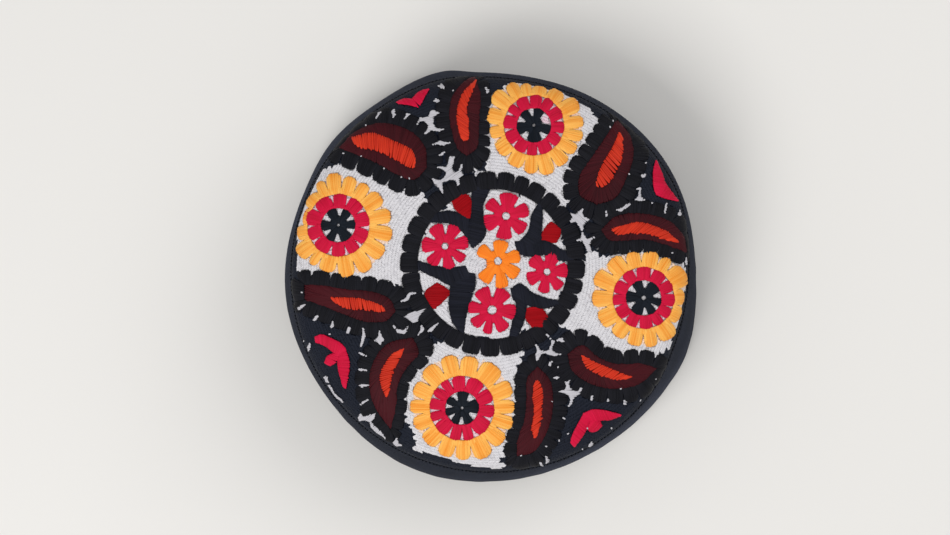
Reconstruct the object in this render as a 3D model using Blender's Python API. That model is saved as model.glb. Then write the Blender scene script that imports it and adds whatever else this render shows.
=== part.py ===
"""Tubeteika skullcap: a low embroidered crown sewn to a plain velvet side band.

Metres, +Z up. The cap stands on its hem, and the origin is the middle of its
footprint. The crown and the side band are two closed cloth walls, turned from
their sections, that meet at the seam with a small gap between them. Both then
take the uneven outline of a cap that was cut and sewn by hand.
"""

import math
from collections import namedtuple

import bmesh
import bpy

# Driving sizes
RIM_RADIUS = 0.0925        # mean outer radius of the hem, the widest place
SEAM_RADIUS = 0.0865       # mean outer radius where the crown meets the band
SEAM_HEIGHT = 0.050        # height of the band's top edge
CROWN_RISE = 0.021         # height of the crown's apex over its own edge
CROWN_WALL = 0.0024        # ground cloth with its packed stitching
BAND_WALL = 0.0022         # velvet on its backing
BAND_BULGE = 0.0015        # how far the band's side swells between seam and hem
HEM_HEIGHT = 0.007         # turned-up edge at the foot of the band
HEM_ROLL = 0.0004          # how far the hem stands proud of the band on each side
HEM_STEP = 0.0006          # height over which the hem runs out into the band
FOOT_ROUND = 0.0009        # rounded corners of the foot that the cap stands on
SEAM_GAP = 0.0003          # clearance between the two pieces at the seam

# Shape of the crown's section: 2 is an ellipse, more is flatter with a quicker shoulder
CROWN_FULLNESS = 2.6

# Fineness of the facets
SEGMENTS = 72              # around the cap
CROWN_STEPS = 12           # from the apex to the crown's edge
BAND_STEPS = 8             # from the hem to the seam
CORNER_STEPS = 3           # on each rounded corner of the foot
MERGE_DISTANCE = 0.00001
SHARP_ANGLE = math.radians(50.0)

# The hand-made outline, as shares of the two mean radii. Angle 0 is at +X and 90
# at +Y. The row at 103 degrees is the small corner beside the flattened stretch.
OutlineRow = namedtuple("OutlineRow", "angle_deg rim_share seam_share")
OUTLINE = (
    OutlineRow(0.0, 1.000, 1.008),
    OutlineRow(22.0, 1.006, 1.030),
    OutlineRow(35.0, 1.012, 1.022),
    OutlineRow(60.0, 0.993, 0.992),
    OutlineRow(78.0, 0.977, 0.975),
    OutlineRow(93.0, 0.982, 0.978),
    OutlineRow(103.0, 1.013, 0.991),
    OutlineRow(122.0, 0.994, 0.985),
    OutlineRow(140.0, 1.000, 0.985),
    OutlineRow(158.0, 0.979, 0.982),
    OutlineRow(185.0, 0.993, 0.988),
    OutlineRow(215.0, 0.984, 0.995),
    OutlineRow(250.0, 1.009, 1.002),
    OutlineRow(275.0, 0.998, 1.008),
    OutlineRow(300.0, 0.994, 1.017),
    OutlineRow(325.0, 1.013, 1.020),
    OutlineRow(338.0, 1.026, 1.007),
)

# Finishes: linear base colour, roughness
Finish = namedtuple("Finish", "colour roughness")
STITCHED_COTTON = Finish((0.66, 0.64, 0.66), 0.85)
NAVY_VELVET = Finish((0.012, 0.016, 0.030), 0.95)


def mix(low, high, share):
    """A value between low and high."""
    return low + (high - low) * share


def smooth_step(share):
    """0 to 1 with level ends, held at both outside them."""
    held = min(max(share, 0.0), 1.0)
    return held * held * (3.0 - 2.0 * held)


def outline_share(angle_deg, column):
    """One column of the outline at any angle: a smooth curve through the rows, closed on itself.

    Each stretch between two rows is a cubic whose slope at a row is that of the
    line between the row's two neighbours.
    """
    count = len(OUTLINE)
    angle = angle_deg % 360.0
    first = max(i for i, row in enumerate(OUTLINE) if row.angle_deg <= angle)
    angles = []
    shares = []
    for i in range(first - 1, first + 3):
        row = OUTLINE[i % count]
        angles.append(row.angle_deg + 360.0 * (i // count))
        shares.append(getattr(row, column))
    span = angles[2] - angles[1]
    slope_in = (shares[2] - shares[0]) / (angles[2] - angles[0]) * span
    slope_out = (shares[3] - shares[1]) / (angles[3] - angles[1]) * span
    t = (angle - angles[1]) / span
    return (
        shares[1] * (2.0 * t ** 3 - 3.0 * t ** 2 + 1.0)
        + shares[2] * (3.0 * t ** 2 - 2.0 * t ** 3)
        + slope_in * (t ** 3 - 2.0 * t ** 2 + t)
        + slope_out * (t ** 3 - t ** 2)
    )


def crown_arc(edge_radius, rise):
    """Radius and height over the edge, from the apex out to the edge: a quarter of a full oval."""
    power = 2.0 / CROWN_FULLNESS
    points = [(0.0, rise)]
    for step in range(1, CROWN_STEPS):
        turn = 0.5 * math.pi * step / CROWN_STEPS
        points.append((edge_radius * math.sin(turn) ** power, rise * math.cos(turn) ** power))
    points.append((edge_radius, 0.0))
    return points


def crown_section():
    """The crown's wall: out along its outside, then back along its inside one wall deeper."""
    edge_height = SEAM_HEIGHT + SEAM_GAP
    outside = crown_arc(SEAM_RADIUS, CROWN_RISE)
    inside = crown_arc(SEAM_RADIUS - CROWN_WALL, CROWN_RISE - CROWN_WALL)
    section = outside + inside[::-1]
    return [(radius, edge_height + height) for radius, height in section]


def band_side(height):
    """Outer radius of the band's plain side: a flared line that swells between hem and seam."""
    share = (height - FOOT_ROUND) / (SEAM_HEIGHT - FOOT_ROUND)
    return mix(RIM_RADIUS - HEM_ROLL, SEAM_RADIUS, share) + BAND_BULGE * math.sin(math.pi * share)


def side_heights():
    """Heights of the plain side's points, from the top of the hem up to the seam."""
    start = HEM_HEIGHT + HEM_STEP
    return [mix(start, SEAM_HEIGHT, step / BAND_STEPS) for step in range(BAND_STEPS + 1)]


def foot_corner(radius, start_deg, end_deg):
    """A rounded corner of the foot about a centre at this radius, from one angle to the other."""
    points = []
    for step in range(CORNER_STEPS + 1):
        angle = math.radians(mix(start_deg, end_deg, step / CORNER_STEPS))
        points.append((radius + FOOT_ROUND * math.cos(angle), FOOT_ROUND + FOOT_ROUND * math.sin(angle)))
    return points


def band_section():
    """The band's wall: down its outside, round the foot of the hem, and up its inside."""
    heights = side_heights()
    outside = [(band_side(height), height) for height in reversed(heights)]
    inside = [(band_side(height) - BAND_WALL, height) for height in heights]
    hem_outer = band_side(HEM_HEIGHT) + HEM_ROLL
    hem_inner = band_side(HEM_HEIGHT) - BAND_WALL - HEM_ROLL
    foot_outer = RIM_RADIUS
    foot_inner = RIM_RADIUS - BAND_WALL - 2.0 * HEM_ROLL
    return (
        outside
        + [(hem_outer, HEM_HEIGHT)]
        + foot_corner(foot_outer - FOOT_ROUND, 0.0, -90.0)
        + foot_corner(foot_inner + FOOT_ROUND, -90.0, -180.0)
        + [(hem_inner, HEM_HEIGHT)]
        + inside
    )


def shape_crown(point, angle_deg):
    """The crown's edge takes the seam's outline, which fades out towards the apex."""
    share = math.hypot(point.x, point.y) / SEAM_RADIUS
    return mix(1.0, outline_share(angle_deg, "seam_share"), share * share)


def shape_band(point, angle_deg):
    """The hem takes the rim's outline, which turns into the seam's by the band's top."""
    rise = smooth_step((point.z - HEM_HEIGHT) / (SEAM_HEIGHT - HEM_HEIGHT))
    rim = outline_share(angle_deg, "rim_share")
    seam = outline_share(angle_deg, "seam_share")
    return mix(rim, seam, rise)


def footprint_centre():
    """Middle of the box round the hem's outer edge, where the origin goes."""
    angles = [360.0 * step / SEGMENTS for step in range(SEGMENTS)]
    radii = [RIM_RADIUS * outline_share(angle, "rim_share") for angle in angles]
    xs = [radius * math.cos(math.radians(angle)) for radius, angle in zip(radii, angles)]
    ys = [radius * math.sin(math.radians(angle)) for radius, angle in zip(radii, angles)]
    return 0.5 * (min(xs) + max(xs)), 0.5 * (min(ys) + max(ys))


def turned_wall(name, section, closed, shape, material, collection):
    """Spin a wall's section round the cap, then scale each point out by the hand-made outline.

    A closed section makes a ring. An open one has its two ends on the axis, and
    they become the wall's two poles.
    """
    bm = bmesh.new()
    verts = [bm.verts.new((radius, 0.0, height)) for radius, height in section]
    pairs = list(zip(verts, verts[1:]))
    if closed:
        pairs.append((verts[-1], verts[0]))
    edges = [bm.edges.new(pair) for pair in pairs]
    bmesh.ops.spin(
        bm, geom=verts + edges, cent=(0.0, 0.0, 0.0), axis=(0.0, 0.0, 1.0),
        angle=2.0 * math.pi, steps=SEGMENTS,
    )
    bmesh.ops.remove_doubles(bm, verts=bm.verts[:], dist=MERGE_DISTANCE)
    bmesh.ops.dissolve_degenerate(bm, edges=bm.edges[:], dist=MERGE_DISTANCE)
    for vert in bm.verts:
        scale = shape(vert.co, math.degrees(math.atan2(vert.co.y, vert.co.x)))
        vert.co.x *= scale
        vert.co.y *= scale
    bmesh.ops.recalc_face_normals(bm, faces=bm.faces[:])
    mesh = bpy.data.meshes.new(name)
    bm.to_mesh(mesh)
    bm.free()
    mesh.shade_smooth()
    mesh.set_sharp_from_angle(angle=SHARP_ANGLE)
    mesh.materials.append(material)
    piece = bpy.data.objects.new(name, mesh)
    collection.objects.link(piece)
    return piece


def cloth_material(name, finish):
    """A plain cloth finish."""
    material = bpy.data.materials.new(name)
    material.use_nodes = True
    shader = material.node_tree.nodes["Principled BSDF"]
    shader.inputs["Base Color"].default_value = (*finish.colour, 1.0)
    shader.inputs["Roughness"].default_value = finish.roughness
    shader.inputs["Metallic"].default_value = 0.0
    return material


def make_crown(collection):
    """The domed top of embroidered cloth."""
    material = cloth_material("stitched_cotton", STITCHED_COTTON)
    return turned_wall("crown", crown_section(), False, shape_crown, material, collection)


def make_side_band(collection):
    """The flared velvet ring with the hem that the cap stands on."""
    material = cloth_material("navy_velvet", NAVY_VELVET)
    return turned_wall("side_band", band_section(), True, shape_band, material, collection)


def main():
    """Clear the scene and sew the cap together over the middle of its footprint."""
    for old in list(bpy.data.objects):
        bpy.data.objects.remove(old, do_unlink=True)
    collection = bpy.data.collections.new("tubeteika_skullcap")
    bpy.context.scene.collection.children.link(collection)
    centre_x, centre_y = footprint_centre()
    for piece in (make_crown(collection), make_side_band(collection)):
        piece.location = (-centre_x, -centre_y, 0.0)


main()
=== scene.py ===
"""The tubeteika skullcap's looks: embroidery laid thread by thread over the crown, and a velvet side band.

Everything is in metres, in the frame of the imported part. The embroidery is drawn
on the flat cloth, as it was sewn, and each thread is then carried over the dome.
"""
import math
from collections import namedtuple

import bpy
import numpy as np
from mathutils import Matrix, Vector


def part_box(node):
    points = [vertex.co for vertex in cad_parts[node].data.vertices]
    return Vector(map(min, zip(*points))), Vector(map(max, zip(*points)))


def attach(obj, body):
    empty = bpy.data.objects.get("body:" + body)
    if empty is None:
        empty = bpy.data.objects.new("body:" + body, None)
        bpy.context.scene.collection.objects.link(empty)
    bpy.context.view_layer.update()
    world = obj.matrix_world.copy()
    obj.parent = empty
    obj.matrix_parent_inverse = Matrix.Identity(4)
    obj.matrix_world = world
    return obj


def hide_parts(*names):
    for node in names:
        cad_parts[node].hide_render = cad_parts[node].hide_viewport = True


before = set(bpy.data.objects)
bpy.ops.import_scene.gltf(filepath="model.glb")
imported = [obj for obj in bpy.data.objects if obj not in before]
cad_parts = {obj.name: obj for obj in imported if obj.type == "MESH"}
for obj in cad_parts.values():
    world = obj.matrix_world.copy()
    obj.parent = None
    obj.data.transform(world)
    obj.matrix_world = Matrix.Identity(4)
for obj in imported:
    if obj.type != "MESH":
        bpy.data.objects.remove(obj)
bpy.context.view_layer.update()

# Sizes of the cap, as the part has them
RIM_RADIUS = 0.0925
SEAM_RADIUS = 0.0865
BAND_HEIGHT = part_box("side_band")[1][2]
CROWN_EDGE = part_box("crown")[0][2]
CROWN_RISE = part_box("crown")[1][2] - CROWN_EDGE
CROWN_WALL = 0.0024
CROWN_FULLNESS = 2.6
BAND_WALL = 0.0022
BAND_BULGE = 0.0015
HEM_HEIGHT = 0.007
HEM_ROLL = 0.0004
FOOT_ROUND = 0.0009

OutlineRow = namedtuple("OutlineRow", "angle_deg rim_share seam_share")
OUTLINE = (
    OutlineRow(0.0, 1.000, 1.008),
    OutlineRow(22.0, 1.006, 1.030),
    OutlineRow(35.0, 1.012, 1.022),
    OutlineRow(60.0, 0.993, 0.992),
    OutlineRow(78.0, 0.977, 0.975),
    OutlineRow(93.0, 0.982, 0.978),
    OutlineRow(103.0, 1.013, 0.991),
    OutlineRow(122.0, 0.994, 0.985),
    OutlineRow(140.0, 1.000, 0.985),
    OutlineRow(158.0, 0.979, 0.982),
    OutlineRow(185.0, 0.993, 0.988),
    OutlineRow(215.0, 0.984, 0.995),
    OutlineRow(250.0, 1.009, 1.002),
    OutlineRow(275.0, 0.998, 1.008),
    OutlineRow(300.0, 0.994, 1.017),
    OutlineRow(325.0, 1.013, 1.020),
    OutlineRow(338.0, 1.026, 1.007),
)

# The camera looks almost straight down, from a little to the right and below
CAMERA_DISTANCE = 1.5
CAMERA_TILT = math.radians(2.4)
CAMERA_SIDE = (0.53, -0.85)
SENSOR_WIDTH = 36.0
IMAGE_WIDTH = 950
IMAGE_HEIGHT = 535

# The chart of the embroidery, in squares of 0.45 mm, as seen by that camera: x to
# the right and y down, read from the photograph
SQUARES_PER_METRE = 2227.0
CHART_MIDDLE = (490.5, 276.0)

# Threads
PITCH = 0.00050            # from one laid thread to the next
CORE_PITCH = 0.00090       # the same in the pods' hatched cores
THREAD_WIDTH = 0.00092     # flattened silk, so neighbours overlap
THREAD_THICK = 0.00044
THREAD_BOW = 0.00012       # how much a thread's middle stands up between its ends
TWIST_LENGTH = 0.0009      # one turn of a thread's twist
CLOTH_SUNK = 0.0007        # the stitching is this deep over its ground cloth
BLOCK_PAD = 0.00032        # how much the middle of a satin block stands up
END_JITTER = 0.00010       # how unevenly the threads end
LIFT_JITTER = 0.00003      # how unevenly they lie
SHORTEST_THREAD = 0.0008   # what is left of a thread at the seam is dropped below this
SEAM_MARGIN = 0.0004       # the embroidery ends this far inside the seam
FREE_STRETCH = 1.15        # times its chart length that a thread may have with no limit
SHOULDER_STRETCH = 0.30    # how much further threads may lengthen on the crown's steep shoulder

# Ground stitches, and the mesh of cells that tells where threads hide them
GROUND_ROW = 0.00140       # width of one ring of ground stitches
GROUND_STEP = 0.00080      # from one ground stitch to the next
GROUND_LEAN = 0.9          # how far a stitch goes on round, as a share of its ring's width
GROUND_REACH = 0.55        # how far it goes on each side of its ring's middle, as the same share
COVER_CELL = 0.0008
COVER_COUNT = 320

# Pods
RING_TUCK = 1.4            # squares that a maroon ring goes in under its core
GAP_LEVEL = 0.6            # share of the teeth's length at which their gaps are read from the chart
HEAD_SHARE = 0.09          # half width of the bell curve round a pod's head, as a share of the way round

# White patches, in squares of the chart
HATCH_PITCH = 0.90         # from one thread of a patch to the next
HATCH_REACH = 0.9          # half the length of a patch's shortest thread
SPECK_REACH = 1.0          # half the length of a speck's thread

# The band's puckers
PUCKER = 0.00018           # how far they stand out
SEAM_PUCKER = 0.009        # half width of their bell curve at the seam
HEM_PUCKER = 0.006         # and at the hem, where they are 0.6 as high

# Overcast stitches on the seam
SEAM_STEP = 0.0016         # from one stitch to the next
SEAM_LEAN = 0.014          # how far a stitch leans round the cap, in radians
SEAM_START = -0.0011       # height of its lower end from the seam
SEAM_RISE = 0.0026         # from its lower end to its upper one
SEAM_INSET = -0.0003       # its two ends lie this far inside the cap's side
SEAM_BOW = 0.0006          # and its middle stands this far out from there

# Shares of a thread's length where it has a ring of corners, and the corners in a ring
LONG_RINGS = (0.06, 0.28, 0.50, 0.72, 0.94)
SHORT_RINGS = (0.14, 0.50, 0.86)
THREAD_SIDES = 5
NO_TRIANGLES = np.zeros((0, 3))

# How a ring's satin blocks end: the share of the thread's length that their corners fall back, the power
# of the full oval that rounds them, the share of their width that they keep at their ends, and the share
# of the way out over which they have grown together
BlockEnd = namedtuple("BlockEnd", "depth power squeeze merged")
WHOLE_RING = BlockEnd(0.0, 4.0, 1.0, 0.0)
TOOTH_END = BlockEnd(0.42, 4.0, 0.87, 0.0)
MEDALLION_END = BlockEnd(0.40, 4.0, 0.88, 0.0)
MARIGOLD_END = BlockEnd(0.34, 3.0, 0.75, 0.33)
CRIMSON_END = BlockEnd(0.30, 3.6, 0.75, 0.25)
STAR_END = BlockEnd(0.30, 3.6, 0.62, 0.46)
FLOWER_END = BlockEnd(0.30, 4.0, 0.70, 0.42)
CENTRE_END = BlockEnd(0.30, 4.0, 0.70, 0.40)

# Patterns: a straight wave's scale is 0.314 over its length, a slanting wave's 0.628 over it, and a
# noise's is one over the size of its patches
WEAVE_SCALE = 630.0        # woven threads 0.5 mm apart
TWIST_SCALE = 0.628        # slanting waves, one for each turn of a thread's twist


def unit(vectors):
    """Vectors scaled to length one."""
    return vectors / np.maximum(np.linalg.norm(vectors, axis=-1, keepdims=True), 1e-12)


def smooth_step(share):
    """0 to 1 with level ends, held at both outside them."""
    held = np.clip(share, 0.0, 1.0)
    return held * held * (3.0 - 2.0 * held)


def outline_share(angle, column):
    """One column of the outline at any angle in radians.

    Between two rows it is a cubic whose slope at a row is that of the line
    between the row's two neighbours, and the rows close on themselves.
    """
    rows = np.array([row.angle_deg for row in OUTLINE])
    shares = np.array([getattr(row, column) for row in OUTLINE])
    degrees = np.degrees(angle) % 360.0
    count = len(rows)
    first = np.searchsorted(rows, degrees, side="right") - 1
    around = [first - 1, first, first + 1, first + 2]
    turns = [index // count for index in around]
    a0, a1, a2, a3 = (rows[i % count] + 360.0 * turn for i, turn in zip(around, turns))
    s0, s1, s2, s3 = (shares[i % count] for i in around)
    span = a2 - a1
    slope_in = (s2 - s0) / (a2 - a0) * span
    slope_out = (s3 - s1) / (a3 - a1) * span
    t = (degrees - a1) / span
    return (
        s1 * (2.0 * t ** 3 - 3.0 * t ** 2 + 1.0)
        + s2 * (3.0 * t ** 2 - 2.0 * t ** 3)
        + slope_in * (t ** 3 - 2.0 * t ** 2 + t)
        + slope_out * (t ** 3 - t ** 2)
    )


def full_oval(edge_radius, rise, steps):
    """A quarter of a full oval, apex to edge: a power of the sine for radius and of the cosine for height."""
    turn = np.linspace(0.0, 0.5 * math.pi, steps)
    power = 2.0 / CROWN_FULLNESS
    return edge_radius * np.sin(turn) ** power, rise * np.cos(turn) ** power


def mesh_corners(node):
    """A CAD node's corners, as an array."""
    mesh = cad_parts[node].data
    corners = np.empty(len(mesh.vertices) * 3)
    mesh.vertices.foreach_get("co", corners)
    return corners.reshape(-1, 3)


CROWN_CORNERS = mesh_corners("crown")
AXIS = CROWN_CORNERS[CROWN_CORNERS[:, 2].argmax(), :2]
ARC_RADIUS, ARC_HEIGHT = full_oval(SEAM_RADIUS, CROWN_RISE, 3000)
ARC_LENGTH = np.concatenate(([0.0], np.cumsum(np.hypot(np.diff(ARC_RADIUS), np.diff(ARC_HEIGHT)))))
CLOTH_RADIUS = ARC_LENGTH[-1]


def round_the_axis(radius, angle, height):
    """Points round the cap's axis: radius times cosine, radius times sine, and height."""
    x = AXIS[0] + radius * np.cos(angle)
    y = AXIS[1] + radius * np.sin(angle)
    return np.stack([x, y, np.broadcast_to(height, x.shape)], axis=-1)


def crown_at(cloth):
    """A place on the flat round cloth carried to the crown.

    Its distance from the middle is kept along the dome. Past the seam it goes
    straight down, by as much as it is past.
    """
    arc = np.hypot(cloth[..., 0], cloth[..., 1])
    angle = np.arctan2(cloth[..., 1], cloth[..., 0])
    radius = np.interp(arc, ARC_LENGTH, ARC_RADIUS)
    height = np.interp(arc, ARC_LENGTH, ARC_HEIGHT) - np.maximum(arc - CLOTH_RADIUS, 0.0)
    share = 1.0 + (outline_share(angle, "seam_share") - 1.0) * (radius / SEAM_RADIUS) ** 2
    return round_the_axis(radius * share, angle, CROWN_EDGE + height)


def crown_frame(cloth):
    """The crown's point and outward normal at a place on the cloth, the normal from two small steps."""
    step = 0.0003
    right = np.array([step, 0.0])
    ahead = np.array([0.0, step])
    across = crown_at(cloth + right) - crown_at(cloth - right)
    along = crown_at(cloth + ahead) - crown_at(cloth - ahead)
    return crown_at(cloth), unit(np.cross(across, along))


def camera_place():
    """Where the camera stands and the point on the floor that it looks at."""
    target = np.array([
        (0.5 * IMAGE_WIDTH - CHART_MIDDLE[0]) / SQUARES_PER_METRE,
        (CHART_MIDDLE[1] - 0.5 * IMAGE_HEIGHT) / SQUARES_PER_METRE,
        0.0,
    ])
    lean = math.sin(CAMERA_TILT)
    back = np.array([lean * CAMERA_SIDE[0], lean * CAMERA_SIDE[1], math.cos(CAMERA_TILT)])
    return target + CAMERA_DISTANCE * unit(back), target


CAMERA_EYE, CAMERA_TARGET = camera_place()


def cloth_from_chart(squares):
    """Squares of the chart as places on the flat cloth.

    A square is a spot on the floor plane, and the line from there to the camera
    meets the crown at a height that is found in a few rounds. The place on the
    cloth has the same angle, and the distance along the dome instead of across it.
    Past the seam the cloth goes on flat.
    """
    squares = np.asarray(squares, dtype=float)
    floor_spot = (squares - CHART_MIDDLE) * (1.0, -1.0) / SQUARES_PER_METRE
    height = np.full(squares.shape[:-1], CROWN_EDGE + CROWN_RISE)
    for _ in range(16):
        seen = floor_spot + (CAMERA_EYE[:2] - floor_spot) * (height / CAMERA_EYE[2])[..., None]
        offset = seen - AXIS
        angle = np.arctan2(offset[..., 1], offset[..., 0])
        reach = np.hypot(offset[..., 0], offset[..., 1])
        share = outline_share(angle, "seam_share") - 1.0
        radius = reach / (1.0 + share * np.minimum(reach / SEAM_RADIUS, 1.0) ** 2)
        height = 0.5 * height + 0.5 * (CROWN_EDGE + np.interp(radius, ARC_RADIUS, ARC_HEIGHT))
    arc = np.interp(radius, ARC_RADIUS, ARC_LENGTH) + np.maximum(radius - SEAM_RADIUS, 0.0)
    return np.stack([arc * np.cos(angle), arc * np.sin(angle)], axis=-1)


def linear(hex_colour):
    """An sRGB hex colour as linear red, green and blue."""
    shares = [int(hex_colour[i:i + 2], 16) / 255.0 for i in (1, 3, 5)]
    return tuple(c / 12.92 if c <= 0.04045 else ((c + 0.055) / 1.055) ** 2.4 for c in shares)


def add_node(tree, kind, settings=None, **inputs):
    """Add a node, apply its settings, and set or link its inputs by name."""
    node = tree.nodes.new(kind)
    for name, value in (settings or {}).items():
        setattr(node, name, value)
    for name, value in inputs.items():
        socket = node.inputs[int(name[1:])] if name[1:].isdigit() else node.inputs[name.replace("_", " ")]
        if isinstance(value, bpy.types.NodeSocket):
            tree.links.new(value, socket)
        else:
            socket.default_value = value
    return node


def new_material(name):
    """An empty material with its output node."""
    material = bpy.data.materials.new(name)
    material.use_nodes = True
    material.node_tree.nodes.clear()
    output = material.node_tree.nodes.new("ShaderNodeOutputMaterial")
    return material, material.node_tree, output


def silk_thread(name, hex_dark, hex_light, roughness=0.6, gloss=0.2):
    """Floss silk or cotton, hardly twisted: each thread its own tone between two, with a soft gloss along it.

    The dye is uneven in patches 7 mm wide. The twist is 0.9 mm a turn, coarser
    than real floss so that it shows.
    """
    material, tree, output = new_material(name)
    place = add_node(tree, "ShaderNodeTexCoord")
    tone = add_node(tree, "ShaderNodeAttribute", {"attribute_name": "tone"})
    dye = add_node(tree, "ShaderNodeTexNoise", Vector=place.outputs["Object"], Scale=140.0, Detail=3.0)
    blend = add_node(
        tree, "ShaderNodeMath", {"operation": "MULTIPLY_ADD", "use_clamp": True},
        _0=dye.outputs["Fac"], _1=0.55, _2=tone.outputs["Fac"],
    )
    spread = add_node(
        tree, "ShaderNodeMapRange", Value=blend.outputs["Value"], From_Min=0.15, From_Max=1.15,
    )
    colour = add_node(
        tree, "ShaderNodeMix", {"data_type": "RGBA"},
        Factor=spread.outputs["Result"],
    )
    colour.inputs[6].default_value = (*linear(hex_dark), 1.0)
    colour.inputs[7].default_value = (*linear(hex_light), 1.0)
    twist = add_node(
        tree, "ShaderNodeTexWave", {"wave_type": "BANDS", "bands_direction": "DIAGONAL"},
        Vector=place.outputs["UV"], Scale=TWIST_SCALE, Distortion=0.4,
    )
    relief = add_node(
        tree, "ShaderNodeBump", Height=twist.outputs["Fac"], Strength=0.2, Distance=0.0002,
    )
    shader = add_node(
        tree, "ShaderNodeBsdfPrincipled", Base_Color=colour.outputs[2], Roughness=roughness,
        Normal=relief.outputs["Normal"],
    )
    shader.inputs["Specular IOR Level"].default_value = gloss
    tree.links.new(shader.outputs["BSDF"], output.inputs["Surface"])
    return material


def woven_cotton(name, hex_pale, hex_shaded, attribute=None):
    """Plain-woven cotton, matt, its threads drawn twice as coarse as real ones.

    Where an attribute is named, its colour covers the cotton by its strength.
    """
    material, tree, output = new_material(name)
    place = add_node(tree, "ShaderNodeTexCoord")
    weave_x = add_node(
        tree, "ShaderNodeTexWave", {"wave_type": "BANDS", "bands_direction": "X"},
        Vector=place.outputs["Object"], Scale=WEAVE_SCALE, Distortion=0.6,
    )
    weave_y = add_node(
        tree, "ShaderNodeTexWave", {"wave_type": "BANDS", "bands_direction": "Y"},
        Vector=place.outputs["Object"], Scale=WEAVE_SCALE, Distortion=0.6,
    )
    weave = add_node(
        tree, "ShaderNodeMath", {"operation": "MULTIPLY"},
        _0=weave_x.outputs["Fac"], _1=weave_y.outputs["Fac"],
    )
    cloudy = add_node(tree, "ShaderNodeTexNoise", Vector=place.outputs["Object"], Scale=90.0, Detail=4.0)
    shade = add_node(
        tree, "ShaderNodeMath", {"operation": "MULTIPLY_ADD", "use_clamp": True},
        _0=weave.outputs["Value"], _1=0.5, _2=cloudy.outputs["Fac"],
    )
    colour = add_node(tree, "ShaderNodeMix", {"data_type": "RGBA"}, Factor=shade.outputs["Value"])
    colour.inputs[6].default_value = (*linear(hex_shaded), 1.0)
    colour.inputs[7].default_value = (*linear(hex_pale), 1.0)
    finished = colour.outputs[2]
    if attribute:
        stitched = add_node(tree, "ShaderNodeAttribute", {"attribute_name": attribute})
        over = add_node(
            tree, "ShaderNodeMix", {"data_type": "RGBA"}, Factor=stitched.outputs["Alpha"],
        )
        tree.links.new(finished, over.inputs[6])
        tree.links.new(stitched.outputs["Color"], over.inputs[7])
        finished = over.outputs[2]
    relief = add_node(
        tree, "ShaderNodeBump", Height=weave.outputs["Value"], Strength=0.5, Distance=0.0002,
    )
    shader = add_node(
        tree, "ShaderNodeBsdfPrincipled", Base_Color=finished, Roughness=0.9,
        Normal=relief.outputs["Normal"],
    )
    shader.inputs["Specular IOR Level"].default_value = 0.2
    tree.links.new(shader.outputs["BSDF"], output.inputs["Surface"])
    return material


def pile_velvet(name, hex_deep, hex_brushed):
    """Cotton velvet: a short dense pile that is almost black face on and pale blue along its edges.

    Brushed patches 12 mm wide and a pile grain of 0.7 mm, drawn coarser than real pile.
    """
    material, tree, output = new_material(name)
    place = add_node(tree, "ShaderNodeTexCoord")
    brushed = add_node(tree, "ShaderNodeTexNoise", Vector=place.outputs["Object"], Scale=80.0, Detail=2.0)
    grain = add_node(tree, "ShaderNodeTexNoise", Vector=place.outputs["Object"], Scale=1400.0, Detail=2.0)
    mixed = add_node(
        tree, "ShaderNodeMath", {"operation": "MULTIPLY_ADD", "use_clamp": True},
        _0=grain.outputs["Fac"], _1=0.45, _2=brushed.outputs["Fac"],
    )
    spread = add_node(
        tree, "ShaderNodeMapRange", Value=mixed.outputs["Value"], From_Min=0.45, From_Max=1.0,
    )
    colour = add_node(tree, "ShaderNodeMix", {"data_type": "RGBA"}, Factor=spread.outputs["Result"])
    colour.inputs[6].default_value = (*linear(hex_deep), 1.0)
    colour.inputs[7].default_value = (*linear(hex_brushed), 1.0)
    relief = add_node(
        tree, "ShaderNodeBump", Height=grain.outputs["Fac"], Strength=0.6, Distance=0.0003,
    )
    shader = add_node(
        tree, "ShaderNodeBsdfPrincipled", Base_Color=colour.outputs[2], Roughness=0.95,
        Normal=relief.outputs["Normal"],
    )
    shader.inputs["Sheen Weight"].default_value = 0.12
    shader.inputs["Sheen Roughness"].default_value = 0.35
    shader.inputs["Sheen Tint"].default_value = (*linear("#8C96B8"), 1.0)
    shader.inputs["Specular IOR Level"].default_value = 0.1
    tree.links.new(shader.outputs["BSDF"], output.inputs["Surface"])
    return material


def seamless_paper(name, hex_colour):
    """Matt studio paper, with a faint unevenness."""
    material, tree, output = new_material(name)
    place = add_node(tree, "ShaderNodeTexCoord")
    fibre = add_node(tree, "ShaderNodeTexNoise", Vector=place.outputs["Object"], Scale=300.0, Detail=2.0)
    relief = add_node(
        tree, "ShaderNodeBump", Height=fibre.outputs["Fac"], Strength=0.05, Distance=0.0005,
    )
    shader = add_node(
        tree, "ShaderNodeBsdfPrincipled", Base_Color=(*linear(hex_colour), 1.0), Roughness=0.95,
        Normal=relief.outputs["Normal"],
    )
    tree.links.new(shader.outputs["BSDF"], output.inputs["Surface"])
    return material


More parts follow.
